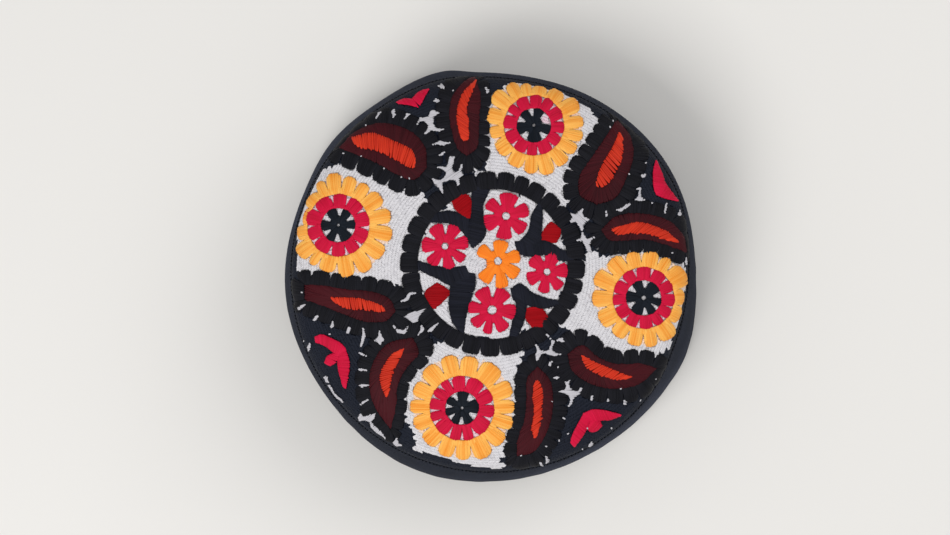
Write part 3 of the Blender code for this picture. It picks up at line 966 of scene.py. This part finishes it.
# White ground that shows between the crowded teeth, as closed shapes in squares
WHITE_PATCHES = (
    # South-west of the medallion
    ((401, 301), (406, 297), (408, 293), (412, 292), (417, 293), (411, 295), (409, 299),
     (405, 302)),
    ((403, 317), (409, 314), (414, 312), (420, 311), (428, 308), (422, 313), (419, 317), (418, 321),
     (413, 323)),
    ((393, 325), (396, 329), (404, 330), (407, 326), (410, 326), (408, 331), (404, 334),
     (397, 333)),
    ((421, 326), (424, 327), (425, 330), (421, 333), (417, 336), (420, 331)),
    ((427, 331), (430, 328), (434, 325), (440, 322), (436, 327), (433, 331), (430, 332)),
    # South-east of the medallion
    ((535, 344), (538, 346), (540, 350), (545, 351), (549, 349), (551, 344), (551, 340), (546, 335),
     (545, 333), (548, 335), (552, 340), (555, 341), (553, 345), (552, 350), (556, 353), (561, 354),
     (554, 356), (549, 355), (544, 353), (541, 354), (538, 361), (536, 361), (535, 355),
     (537, 351)),
    ((556, 340), (559, 338), (562, 338), (565, 342), (561, 342)),
    ((548, 366), (549, 362), (552, 361), (551, 366)),
    ((552, 378), (555, 376), (560, 377), (557, 379)),
    ((557, 391), (562, 390), (565, 389), (566, 385), (564, 382), (567, 382), (571, 378), (569, 384),
     (570, 388), (574, 391), (578, 391), (580, 387), (582, 388), (580, 394), (576, 396), (573, 399),
     (572, 404), (568, 406), (570, 400), (568, 395), (563, 393)),
    # North-east of the medallion
    ((569, 212), (575, 214), (579, 211), (583, 208), (582, 213), (584, 217), (590, 220), (586, 223),
     (584, 226), (583, 231), (581, 230), (579, 226), (576, 222), (568, 223), (571, 219),
     (572, 217)),
    ((582, 232), (584, 235), (587, 239), (594, 237), (591, 241), (590, 246), (592, 252), (587, 252),
     (585, 246), (582, 241), (575, 241), (580, 238)),
    # North-west of the medallion
    ((438, 167), (442, 166), (446, 167), (448, 163), (449, 158), (451, 156), (455, 156), (454, 162),
     (452, 167), (453, 170), (458, 171), (460, 168), (461, 164), (463, 166), (462, 171), (464, 175),
     (460, 177), (459, 178), (460, 185), (457, 186), (456, 181), (453, 180), (449, 180), (445, 182),
     (442, 182), (443, 187), (443, 194), (441, 192), (439, 188), (435, 186), (433, 181), (431, 177),
     (435, 179), (441, 180), (445, 176), (446, 173), (443, 170)),
    ((439, 155), (442, 152), (445, 152), (443, 155)),
    # North-west corner
    ((417, 124), (418, 120), (420, 117), (424, 118), (428, 117), (429, 113), (432, 109), (436, 111),
     (441, 113), (437, 114), (434, 118), (434, 124), (437, 128), (445, 129), (439, 131), (431, 130),
     (427, 133), (423, 135), (427, 129), (428, 125), (424, 121), (420, 121)),
    ((438, 86), (441, 83), (446, 90), (442, 88)),
    ((433, 101), (436, 98), (440, 100), (436, 102)),
    ((404, 119), (406, 113), (411, 113), (407, 117)),
    ((376, 118), (378, 112), (381, 112), (379, 115)),
    ((391, 111), (394, 109), (396, 114), (393, 118), (392, 114)),
    ((431, 145), (440, 140), (444, 142), (452, 142), (445, 145), (438, 144)),
    ((484, 86), (487, 88), (490, 91), (487, 93)),
    # North-east corner
    ((634, 189), (641, 187), (641, 197), (645, 200), (640, 201), (634, 200), (638, 197),
     (639, 190)),
    ((641, 176), (646, 173), (645, 177), (642, 178)),
    ((616, 210), (620, 209), (625, 206), (630, 202), (631, 204), (625, 209), (620, 212)),
    ((664, 212), (665, 205), (667, 203), (667, 208), (665, 213)),
    ((677, 215), (680, 210), (682, 214), (679, 216)),
    ((605, 217), (606, 211), (608, 215)),
    ((684, 262), (686, 258), (688, 262), (686, 265)),
    # South-east corner
    ((590, 400), (591, 394), (593, 395), (592, 400)),
    ((606, 401), (608, 398), (609, 401)),
    ((618, 391), (621, 387), (622, 389)),
    ((623, 400), (627, 402), (626, 404), (623, 404)),
    ((588, 444), (591, 441), (595, 444), (592, 447), (588, 446)),
    ((545, 455), (549, 459), (550, 462), (546, 463)),
    ((539, 462), (541, 461), (543, 465), (540, 465)),
    ((562, 417), (567, 418), (565, 419)),
    # South-west corner
    ((297, 308), (300, 306), (307, 304), (303, 308), (298, 310)),
    ((312, 321), (316, 315), (319, 316), (316, 320)),
    ((330, 327), (333, 321), (334, 325), (331, 328)),
    ((346, 333), (348, 325), (351, 328), (349, 334)),
    ((360, 346), (362, 335), (363, 328), (366, 336), (364, 341), (362, 347)),
    ((374, 340), (378, 336), (379, 330), (382, 336), (385, 340), (381, 345), (378, 343)),
    ((358, 352), (362, 353), (367, 356), (361, 355)),
    ((357, 369), (361, 368), (367, 370), (361, 371)),
    ((358, 385), (362, 384), (371, 385), (362, 387)),
    ((360, 404), (363, 401), (369, 399), (366, 402), (361, 405)),
    ((358, 417), (361, 413), (365, 415), (371, 414), (376, 412), (375, 417), (371, 421), (376, 425),
     (380, 429), (383, 432), (386, 438), (381, 435), (376, 432), (371, 427), (370, 422), (364, 420),
     (359, 421)),
    ((393, 443), (397, 437), (402, 445), (396, 446)),
    ((307, 347), (310, 343), (312, 347), (309, 351)),
    ((324, 377), (328, 375), (329, 382), (326, 382)),
    ((328, 385), (331, 384), (336, 393), (343, 399), (343, 402), (337, 398), (333, 393)),
)

# Single white threads that show as specks, mostly along the pods' rings
WHITE_SPECKS = (
    (343, 153), (361, 156), (377, 163), (384, 168), (401, 177), (409, 178), (366, 125), (453, 90),
    (465, 174), (629, 174), (613, 121), (610, 127), (646, 163), (652, 203), (594, 216), (612, 244),
    (644, 250), (672, 253), (578, 421), (611, 428), (640, 400), (655, 379), (568, 433), (546, 446),
    (552, 401), (558, 367), (582, 449), (559, 440), (587, 428), (521, 455), (297, 334), (302, 292),
    (304, 341), (330, 334), (423, 293),
)


def pod_loop(side_a, side_b):
    """A closed line out along one side of a pod and back along the other."""
    return np.vstack([smooth_line(side_a)[:-1], smooth_line(side_b)[::-1][:-1]])


def outward(line):
    """Directions out of a closed line, square to it and evened over a few places."""
    along = np.roll(line, -1, axis=0) - np.roll(line, 1, axis=0)
    from_middle = line - line.mean(axis=0)
    around = (from_middle[:, 0] * along[:, 1] - from_middle[:, 1] * along[:, 0]).sum()
    square = unit(np.stack([along[:, 1], -along[:, 0]], axis=-1)) * np.sign(around)
    reach = len(line) // 28
    return unit(sum(np.roll(square, shift, axis=0) for shift in range(-reach, reach + 1)))


def pod_stitches():
    """Each pod's vermilion core, the maroon ring round it and the black teeth round that.

    The teeth's outer line is the ring's, moved out by the tooth length. That
    turns from one side's length to the other's at the pod's two ends, as the
    hyperbolic tangent of a sine, and to the head's within a bell curve round it.
    """
    cores, rings, teeth = [], [], []
    for pod in PODS:
        cores.append(satin_fill(pod.core_a, pod.core_b, slant=0.12, pitch=CORE_PITCH))
        core = pod_loop(pod.core_a, pod.core_b)
        ring = pod_loop(pod.ring_a, pod.ring_b)
        under_core = core - outward(core) * RING_TUCK
        rings.append(satin_blocks(under_core, ring, (0.0,), WHOLE_RING))
        share = np.linspace(0.0, 1.0, len(ring), endpoint=False)
        side = 0.5 + 0.5 * np.tanh(4.0 * np.sin(2.0 * math.pi * share))
        head = np.exp(-((share - 0.5) / HEAD_SHARE) ** 2)
        length = pod.tooth_a * side + pod.tooth_b * (1.0 - side)
        length = (length * (1.0 - head) + pod.tooth_head * head)[:, None]
        out = outward(ring)
        spots = np.array(pod.gaps, dtype=float)
        away = np.linalg.norm((ring + out * GAP_LEVEL * length)[None] - spots[:, None], axis=-1)
        gaps = np.unique(away.argmin(axis=1)) / len(ring)
        teeth.append(satin_blocks(ring - out, ring + out * length, gaps, TOOTH_END))
    return gather(cores), gather(rings), gather(teeth)


def leaf_stitches(leaves, slant):
    """Shapes filled from side to side."""
    return gather([satin_fill(leaf.side_a, leaf.side_b, slant) for leaf in leaves])


def hatch(corners, angle):
    """Parallel threads that fill a closed shape at an angle in radians.

    The shape is turned so that the threads lie level. A thread goes from each
    odd crossing of its height with the shape's sides to the next one, and a short
    one is lengthened about its middle.
    """
    turn = np.array([[math.cos(angle), -math.sin(angle)], [math.sin(angle), math.cos(angle)]])
    turned = np.asarray(corners, dtype=float) @ turn
    x0, y0 = turned.T
    x1, y1 = np.roll(turned, -1, axis=0).T
    starts, ends = [], []
    low, high = turned[:, 1].min(), turned[:, 1].max()
    count = max(1, round((high - low) / HATCH_PITCH))
    for height in low + (np.arange(count) + 0.5) * (high - low) / count:
        crosses = (y0 > height) != (y1 > height)
        spots = np.sort((x0 + (height - y0) * (x1 - x0) / np.where(y1 == y0, 1.0, y1 - y0))[crosses])
        for left, right in zip(spots[0::2], spots[1::2]):
            reach = max(0.5 * (right - left), HATCH_REACH)
            middle = 0.5 * (left + right)
            starts.append((middle - reach, height))
            ends.append((middle + reach, height))
    return np.array(starts) @ turn.T, np.array(ends) @ turn.T


def patch_stitches():
    """The white patches between the teeth, each hatched at its own angle, and the specks."""
    random = np.random.default_rng(51)
    filled = [hatch(patch, random.uniform(-0.9, 0.9)) for patch in WHITE_PATCHES]
    specks = np.array(WHITE_SPECKS, dtype=float)
    angle = random.uniform(0.0, math.pi, len(specks))
    half = SPECK_REACH * np.stack([np.cos(angle), np.sin(angle)], axis=-1)
    starts = np.concatenate([starts for starts, _ in filled] + [specks - half])
    ends = np.concatenate([ends for _, ends in filled] + [specks + half])
    return Stitches(starts, ends, np.zeros(len(starts)))


def in_shape(places, corners):
    """Whether places lie in a closed shape: a line to the right crosses its sides an odd number of times."""
    x, y = places[..., 0], places[..., 1]
    inside = np.zeros(x.shape, dtype=bool)
    for (x0, y0), (x1, y1) in zip(corners, np.roll(corners, -1, axis=0)):
        crosses = (y0 > y) != (y1 > y)
        slope = (x1 - x0) / (y1 - y0) if y1 != y0 else 0.0
        inside ^= crosses & (x < x0 + (y - y0) * slope)
    return inside


def in_navy(places):
    """Whether places on the cloth lie where the ground is navy: outside the medallion and white fields."""
    medallion = MEDALLION[0]
    white = in_shape(places, cloth_from_chart(polar_line(medallion.x, medallion.y, MEDALLION_FIELD)[::12]))
    for corners in WHITE_FIELDS:
        white |= in_shape(places, cloth_from_chart(corners))
    return ~white


def in_rings(places, rings, share=1.0):
    """Whether places on the cloth lie within a share of some rings' reach, in their blocks or gaps."""
    found = np.zeros(places.shape[:-1], dtype=bool)
    for ring in rings:
        centre = np.array([ring.x, ring.y])
        outline = centre + (ring_outline(ring)[1] - centre) * share
        found |= in_shape(places, cloth_from_chart(outline[::4]))
    return found


def cells_of(places):
    """The whole-number cell of the cover mesh that each place lies in."""
    return np.floor(places / COVER_CELL).astype(int) + COVER_COUNT // 2


def hidden_under_threads(starts, ends):
    """Whether both ends and the middle of a ground stitch lie in cells that laid threads fill."""
    filled = np.zeros((COVER_COUNT, COVER_COUNT), dtype=bool)
    for path, _ in LAID:
        for share in (0.0, 0.33, 0.67, 1.0):
            cell = cells_of(path[:, :-1] + (path[:, 1:] - path[:, :-1]) * share).reshape(-1, 2)
            filled[cell[:, 0], cell[:, 1]] = True
    covered = np.ones(len(starts), dtype=bool)
    for share in (0.0, 0.5, 1.0):
        cell = cells_of(starts + (ends - starts) * share)
        covered &= filled[cell[:, 0], cell[:, 1]]
    return covered


def ground_rows():
    """Slanting stitches in rings round the crown, which lean the other way in every second ring.

    A stitch goes from one edge of its ring to the other and about as far round,
    so that two rings make a herringbone.
    """
    starts, ends = [], []
    for row in range(1, int(CLOTH_RADIUS / GROUND_ROW) + 1):
        radius = row * GROUND_ROW
        count = max(6, round(2.0 * math.pi * radius / GROUND_STEP))
        lean = GROUND_LEAN * GROUND_ROW / radius * (1 if row % 2 else -1)
        turn = 2.0 * math.pi * (np.arange(count) + 0.5 * (row % 2)) / count
        low = radius - GROUND_REACH * GROUND_ROW
        high = radius + GROUND_REACH * GROUND_ROW
        starts.append(low * np.stack([np.cos(turn), np.sin(turn)], axis=-1))
        ends.append(high * np.stack([np.cos(turn + lean), np.sin(turn + lean)], axis=-1))
    starts, ends = np.concatenate(starts), np.concatenate(ends)
    seen = ~hidden_under_threads(starts, ends)
    return starts[seen], ends[seen]


def lay_ground(finishes):
    """The ground between the motifs: white, stained pink or peach in the suns, and navy elsewhere."""
    starts, ends = ground_rows()
    middles = 0.5 * (starts + ends)
    dark = in_navy(starts) | in_navy(ends)
    in_stars = in_rings(middles, SUN_STARS)
    pink = in_rings(middles, SUN_CRIMSON) & ~in_stars & ~dark
    peach = in_rings(middles, SUN_MARIGOLD, 0.95) & ~in_stars & ~pink & ~dark
    for name, chosen, finish, slot, seed in (
        ("ground_white", ~dark & ~pink & ~peach, "white", "white_cotton", 31),
        ("ground_pink", pink, "pink", "white_cotton", 32),
        ("ground_peach", peach, "peach", "white_cotton", 34),
        ("ground_navy", dark, "navy", "navy_velvet", 33),
    ):
        rows = Stitches(starts[chosen], ends[chosen], np.zeros(chosen.sum()))
        lay_threads(
            name, rows, finishes[finish], lift=0.00020, seed=seed, rings=SHORT_RINGS,
            width=0.00108, thick=0.00034, bow=0.00005, jitter=0.00008, cover=False,
        )


def grid_faces(rows, columns, ring=False):
    """Quads between neighbouring rows and columns, closed round the columns and, for a ring, the rows."""
    row = np.arange(rows if ring else rows - 1)[:, None]
    column = np.arange(columns)[None, :]
    row_next = (row + 1) % rows
    column_next = (column + 1) % columns
    return np.stack([
        row * columns + column,
        row_next * columns + column,
        row_next * columns + column_next,
        row * columns + column_next,
    ], axis=-1).reshape(-1, 4)


def reverse_colours(places):
    """The stitching's colours as the back of the cloth shows them, and how strongly.

    A colour is the mean of the threads laid over a cell. Its strength is a tenth
    for each of the samples along the threads that lie in the cell, up to 0.8.
    """
    shares = np.linspace(0.04, 0.96, 14)[None, :, None]
    total = np.zeros((COVER_COUNT, COVER_COUNT, 3))
    count = np.zeros((COVER_COUNT, COVER_COUNT, 1))
    for path, material in LAID:
        mix = next(n for n in material.node_tree.nodes if n.type == "MIX")
        tint = 0.5 * (np.array(mix.inputs[6].default_value[:3]) + np.array(mix.inputs[7].default_value[:3]))
        cell = cells_of((path[:, :1] + (path[:, -1:] - path[:, :1]) * shares).reshape(-1, 2))
        np.add.at(total, (cell[:, 0], cell[:, 1]), tint)
        np.add.at(count, (cell[:, 0], cell[:, 1]), 1.0)
    cell = cells_of(places)
    amount = count[cell[..., 0], cell[..., 1]]
    colour = total[cell[..., 0], cell[..., 1]] / np.maximum(amount, 1.0)
    return np.concatenate([colour, np.minimum(0.8, 0.1 * amount)], axis=-1)


def make_crown_cloth(outer_cloth, inner_cloth):
    """The crown's ground cloth: out from the apex under the stitching, and back along the inside.

    The outside is the crown's surface sunk by the stitching's depth. The inside
    is a full oval one wall smaller all round.
    """
    columns = 256
    outer_steps = 90
    inner_steps = 70
    angle = np.linspace(0.0, 2.0 * math.pi, columns, endpoint=False)
    spoke = np.stack([np.cos(angle), np.sin(angle)], axis=-1)
    outer_arc = CLOTH_RADIUS * np.linspace(0.0, 1.0, outer_steps)[1:]
    outer_places = outer_arc[:, None, None] * spoke[None]
    point, normal = crown_frame(outer_places)
    outer = point - normal * CLOTH_SUNK
    radii, heights = full_oval(SEAM_RADIUS - CROWN_WALL, CROWN_RISE - CROWN_WALL, inner_steps)
    radii, heights = radii[1:], heights[1:]
    share = 1.0 + (outline_share(angle, "seam_share") - 1.0) * (radii[:, None] / SEAM_RADIUS) ** 2
    inner = round_the_axis(radii[:, None] * share, angle, CROWN_EDGE + heights[:, None])
    grid = np.concatenate([outer, inner[::-1]])
    rows = len(grid)
    top = crown_at(np.zeros((1, 2))) - (0.0, 0.0, CLOTH_SUNK)
    under = np.array([[AXIS[0], AXIS[1], CROWN_EDGE + CROWN_RISE - CROWN_WALL]])
    corners = np.concatenate([grid.reshape(-1, 3), top, under])
    quads = grid_faces(rows, columns)
    column = np.arange(columns)
    column_next = (column + 1) % columns
    last = (rows - 1) * columns
    top_fan = np.stack([np.full(columns, rows * columns), column, column_next], axis=-1)
    under_fan = np.stack([np.full(columns, rows * columns + 1), last + column_next, last + column], axis=-1)
    faces_outer = (len(outer) - 1) * columns
    face_material = np.concatenate([
        np.zeros(faces_outer), np.ones(len(quads) - faces_outer), np.zeros(columns), np.ones(columns),
    ])
    piece = build_mesh(
        "crown_cloth", corners, quads, np.concatenate([top_fan, under_fan]),
        [outer_cloth, inner_cloth], face_material=face_material,
    )
    inner_arc = np.interp(radii[::-1] * SEAM_RADIUS / (SEAM_RADIUS - CROWN_WALL), ARC_RADIUS, ARC_LENGTH)
    inner_places = inner_arc[:, None, None] * spoke[None]
    navy = np.array([*linear("#1B2030"), 1.0])
    shown = np.zeros((len(outer), columns, 4))
    shown[in_navy(outer_places)] = navy
    backs = reverse_colours(inner_places)
    colours = np.concatenate([
        shown.reshape(-1, 4), backs.reshape(-1, 4), np.zeros((2, 4)),
    ])
    stitched = piece.data.attributes.new("stitched", "FLOAT_COLOR", "POINT")
    stitched.data.foreach_set("color", colours.astype(np.float32).ravel())
    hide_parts("crown")
    return piece


def band_side(height):
    """Outer radius of the band's side: a straight flare from hem to seam, plus a bulge of one sine arch."""
    share = (height - FOOT_ROUND) / (BAND_HEIGHT - FOOT_ROUND)
    flare = RIM_RADIUS - HEM_ROLL + (SEAM_RADIUS - RIM_RADIUS + HEM_ROLL) * share
    return flare + BAND_BULGE * np.sin(math.pi * share)


def band_grid(radii, heights, columns, pucker=0.0):
    """A section of the band carried round the cap.

    Its outline turns from the rim's at the hem to the seam's at the top. Small
    puckers, a sum of two sines round the cap, fade as bell curves away from the
    seam and the hem.
    """
    angle = np.linspace(0.0, 2.0 * math.pi, columns, endpoint=False)
    rise = smooth_step((heights - HEM_HEIGHT) / (BAND_HEIGHT - HEM_HEIGHT))[:, None]
    share = outline_share(angle, "rim_share") * (1.0 - rise) + outline_share(angle, "seam_share") * rise
    near_seam = np.exp(-((BAND_HEIGHT - heights) / SEAM_PUCKER) ** 2)
    near_hem = 0.6 * np.exp(-((heights - HEM_HEIGHT) / HEM_PUCKER) ** 2)
    ripple = 0.6 * np.sin(37.0 * angle + 1.3 * np.sin(5.0 * angle)) + 0.4 * np.sin(61.0 * angle)
    reach = radii[:, None] * share + pucker * (near_seam + near_hem)[:, None] * ripple
    return round_the_axis(reach, angle, heights[:, None])


def make_band_velvet(velvet):
    """The velvet strip: down its outside, round the foot, up the turned-in hem and up behind the pile."""
    pile = 0.0012
    tuck = 0.0012
    turn_start = 0.003
    turn_end = 0.0095
    roll_start = HEM_HEIGHT - 0.003
    roll_end = HEM_HEIGHT + 0.002
    up = np.linspace(roll_end, BAND_HEIGHT - tuck, 34)
    roll_up = np.linspace(roll_start, roll_end, 8)[:-1]
    roll = HEM_ROLL * (1.0 - smooth_step((roll_up - roll_start) / (roll_end - roll_start)))
    side_heights = np.concatenate([roll_up, up])
    side_radii = band_side(side_heights) + np.concatenate([roll, np.zeros(len(up))])
    corner = np.radians(np.linspace(0.0, 90.0, 6))
    top_radii = band_side(BAND_HEIGHT) - tuck + tuck * np.cos(corner)
    top_heights = BAND_HEIGHT - tuck + tuck * np.sin(corner)
    foot = np.radians(np.linspace(0.0, -90.0, 6))
    outer_foot_r = RIM_RADIUS - FOOT_ROUND + FOOT_ROUND * np.cos(foot)
    outer_foot_z = FOOT_ROUND + FOOT_ROUND * np.sin(foot)
    inner_rim = RIM_RADIUS - BAND_WALL - 2.0 * HEM_ROLL
    inner_foot_r = inner_rim + FOOT_ROUND - FOOT_ROUND * np.cos(foot[::-1])
    inner_foot_z = FOOT_ROUND + FOOT_ROUND * np.sin(foot[::-1])
    hem_up = np.linspace(turn_start, turn_end, 6)
    hem_r = band_side(hem_up) - BAND_WALL - HEM_ROLL
    back_up = np.linspace(turn_end + 0.0004, BAND_HEIGHT - 0.0006, 18)
    back_r = band_side(back_up) - pile
    radii = np.concatenate([
        top_radii[::-1], side_radii[::-1][1:], outer_foot_r, inner_foot_r, hem_r, back_r,
    ])
    heights = np.concatenate([
        top_heights[::-1], side_heights[::-1][1:], outer_foot_z, inner_foot_z, hem_up, back_up,
    ])
    columns = 420
    grid = band_grid(radii, heights, columns, pucker=PUCKER)
    faces = grid_faces(len(grid), columns, ring=True)
    piece = build_mesh("band_velvet", grid.reshape(-1, 3), faces, NO_TRIANGLES, [velvet])
    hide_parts("side_band")
    return piece


def make_band_backing(cotton):
    """The strip's cotton backing, a thin wall inside the velvet from the turned-in hem up to the seam."""
    hem_top = 0.0100
    behind_velvet = 0.00125
    columns = 240
    up = np.linspace(hem_top, BAND_HEIGHT - 0.0007, 24)
    radii = np.concatenate([band_side(up[::-1]) - behind_velvet, band_side(up) - BAND_WALL])
    heights = np.concatenate([up[::-1], up])
    grid = band_grid(radii, heights, columns)
    faces = grid_faces(len(grid), columns, ring=True)
    piece = build_mesh("band_backing", grid.reshape(-1, 3), faces, NO_TRIANGLES, [cotton])


def edge_point(angle, height, out):
    """A point at the seam's outline, at a height from the seam, moved out by a distance."""
    radius = SEAM_RADIUS * outline_share(angle, "seam_share") + out
    return round_the_axis(radius, angle, BAND_HEIGHT + height)


def make_seam_stitches(thread):
    """Slanting overcast stitches that hold the crown's edge to the band, one at each step round the seam.

    Each bows out from the cap by one sine arch over its length.
    """
    random = np.random.default_rng(41)
    count = round(2.0 * math.pi * SEAM_RADIUS / SEAM_STEP)
    along = np.concatenate(([0.0], LONG_RINGS, [1.0]))
    turn = 2.0 * math.pi * np.arange(count) / count + random.normal(0.0, 0.0012, count)
    angle = turn[:, None] + SEAM_LEAN * along[None, :]
    height = SEAM_START + SEAM_RISE * along[None, :] + random.normal(0.0, 0.00012, (count, 1))
    out = SEAM_INSET + SEAM_BOW * np.sin(math.pi * along[None, :])
    route = edge_point(angle, height, np.broadcast_to(out, angle.shape))
    normal = np.stack([np.cos(angle), np.sin(angle), np.zeros_like(angle)], axis=-1)
    widths = np.full(count, 0.0008)
    thicks = np.full(count, 0.0006)
    tones = random.uniform(0.0, 1.0, count)
    threads = thread_tubes(route, normal, along, widths, thicks, tones)
    thread_piece("seam_stitches", threads, thread)


def make_embroidery(finishes):
    """All the crown's stitching. The last number of each layer is its lift over the ground cloth."""
    cores, maroon_rings, teeth = pod_stitches()
    layers = (
        ("pod_teeth", teeth, "black", "black_silk", 0.00042),
        ("pod_rings", maroon_rings, "maroon", "maroon_silk", 0.00050),
        ("medallion_ring", ring_stitches(MEDALLION, MEDALLION_END), "black", "black_silk", 0.00052),
        ("sun_marigold", ring_stitches(SUN_MARIGOLD, MARIGOLD_END), "marigold", "marigold_silk", 0.00048),
        ("sun_crimson", ring_stitches(SUN_CRIMSON, CRIMSON_END), "crimson", "crimson_silk", 0.00052),
        ("sun_stars", ring_stitches(SUN_STARS, STAR_END), "star", "black_silk", 0.00056),
        ("brackets", leaf_stitches(BRACKETS, 0.05), "bracket", "black_silk", 0.00046),
        ("medallion_flowers", ring_stitches(CRIMSON_FLOWERS, FLOWER_END), "crimson", "crimson_silk", 0.00050),
        ("centre_flower", ring_stitches(ORANGE_FLOWER, CENTRE_END), "orange", "orange_silk", 0.00052),
        ("buds", leaf_stitches(BUDS, 0.0), "dark_red", "dark_red_silk", 0.00044),
        ("tulips", leaf_stitches(TULIPS, 0.1), "crimson", "crimson_silk", 0.00056),
    )
    for seed, (name, stitches, finish, slot, lift) in enumerate(layers, start=1):
        lay_threads(name, on_cloth(stitches), finishes[finish], lift, seed)
    lay_threads(
        "pod_cores", on_cloth(cores), finishes["vermilion"], 0.00066, seed=21,
        width=0.0011, jitter=0.00022,
    )
    lay_ground(finishes)
    # The white patches and specks are laid in a darker white than the ground: painted shade between the
    # raised teeth.
    lay_threads(
        "white_patches", on_cloth(patch_stitches()), finishes["shaded_white"], 0.00088, seed=22,
        rings=SHORT_RINGS, width=0.00068, thick=0.00034, bow=0.00005, jitter=0.00013, cover=False,
    )


def make_floor(paper):
    """A plain pale floor."""
    mesh = bpy.data.meshes.new("floor")
    half = 3.0
    corners = [(-half, -half, 0.0), (half, -half, 0.0), (half, half, 0.0), (-half, half, 0.0)]
    mesh.from_pydata(corners, [], [(0, 1, 2, 3)])
    mesh.materials.append(paper)
    floor = bpy.data.objects.new("floor", mesh)
    bpy.context.scene.collection.objects.link(floor)


def add_softbox(name, place, aim, size, power):
    """A square studio light that faces a point."""
    light = bpy.data.lights.new(name, "AREA")
    light.shape = "SQUARE"
    light.size = size
    light.energy = power
    lamp = bpy.data.objects.new(name, light)
    lamp.location = place
    lamp.rotation_euler = (Vector(aim) - Vector(place)).to_track_quat("-Z", "Y").to_euler()
    bpy.context.scene.collection.objects.link(lamp)


def make_lights():
    """Two large softboxes over an even grey surround."""
    world = bpy.data.worlds.new("surround")
    world.use_nodes = True
    world.node_tree.nodes["Background"].inputs["Color"].default_value = (0.95, 0.97, 1.0, 1.0)
    world.node_tree.nodes["Background"].inputs["Strength"].default_value = 0.48
    bpy.context.scene.world = world
    middle = (0.0, 0.0, 0.05)
    add_softbox("key_softbox", (-0.7, -0.9, 1.5), middle, 0.9, 19.0)
    add_softbox("fill_softbox", (1.0, 0.6, 1.2), middle, 1.2, 8.0)


def make_camera():
    """The camera at the photograph's angle, with the photograph's up as +Y."""
    data = bpy.data.cameras.new("camera")
    data.sensor_width = SENSOR_WIDTH
    data.lens = SENSOR_WIDTH * CAMERA_DISTANCE * SQUARES_PER_METRE / IMAGE_WIDTH
    camera = bpy.data.objects.new("camera", data)
    back = Vector(CAMERA_EYE - CAMERA_TARGET).normalized()
    right = Vector((0.0, 1.0, 0.0)).cross(back).normalized()
    up = back.cross(right)
    camera.matrix_world = Matrix((
        (right.x, up.x, back.x, CAMERA_EYE[0]),
        (right.y, up.y, back.y, CAMERA_EYE[1]),
        (right.z, up.z, back.z, CAMERA_EYE[2]),
        (0.0, 0.0, 0.0, 1.0),
    ))
    bpy.context.scene.collection.objects.link(camera)
    bpy.context.scene.camera = camera


def make_finishes():
    """One finish for each thread colour: floss silk has a soft gloss, and cotton is almost matt."""
    return {
        "white": silk_thread("ground_cotton_thread", "#A9A6AB", "#E4E1E3", roughness=0.8),
        # The patches' white is darker than the ground's white: painted shade where the white shows between
        # the raised teeth.
        "shaded_white": silk_thread("shaded_white_cotton_thread", "#A29FA5", "#CBC8CC", roughness=0.8),
        "pink": silk_thread("pink_stained_cotton_thread", "#DBA9BC", "#EBD3DB", roughness=0.8),
        "peach": silk_thread("peach_stained_cotton_thread", "#E6B996", "#F3DAC6", roughness=0.8),
        "black": silk_thread("black_silk_floss", "#0E0E12", "#1C1C22", gloss=0.1),
        "star": silk_thread("blue_black_silk_floss", "#0C1117", "#1A2029", gloss=0.1),
        "bracket": silk_thread("ink_blue_silk_floss", "#101118", "#1E202B", gloss=0.1),
        "navy": silk_thread("navy_cotton_thread", "#12141C", "#20242F", gloss=0.1),
        "marigold": silk_thread("marigold_silk_floss", "#EE8C20", "#FFC462"),
        "orange": silk_thread("orange_silk_floss", "#F07512", "#FF8E24"),
        "crimson": silk_thread("crimson_silk_floss", "#BC0730", "#D80F41", gloss=0.15),
        "dark_red": silk_thread("dark_red_silk_floss", "#8A0009", "#A50612", gloss=0.1),
        "vermilion": silk_thread("vermilion_silk_floss", "#B82410", "#DE3A1C"),
        "maroon": silk_thread("maroon_silk_floss", "#300A10", "#481018", gloss=0.12),
    }


def main():
    """Dress the cap, light it and frame it."""
    finishes = make_finishes()
    make_embroidery(finishes)
    crown = make_crown_cloth(
        woven_cotton("ground_cotton_cloth", "#DEDBDC", "#CAC7C9", attribute="stitched"),
        woven_cotton("reverse_of_cloth", "#CFC9BE", "#A9A398", attribute="stitched"),
    )
    band = make_band_velvet(pile_velvet("navy_cotton_velvet", "#0C0F15", "#181C26"))
    make_band_backing(woven_cotton("dark_cotton_backing", "#2A2A33", "#17171E"))
    make_seam_stitches(finishes["navy"])
    make_floor(seamless_paper("pale_studio_paper", "#E9E6E1"))
    make_lights()
    make_camera()
    bpy.context.scene.view_settings.view_transform = "Standard"


main()
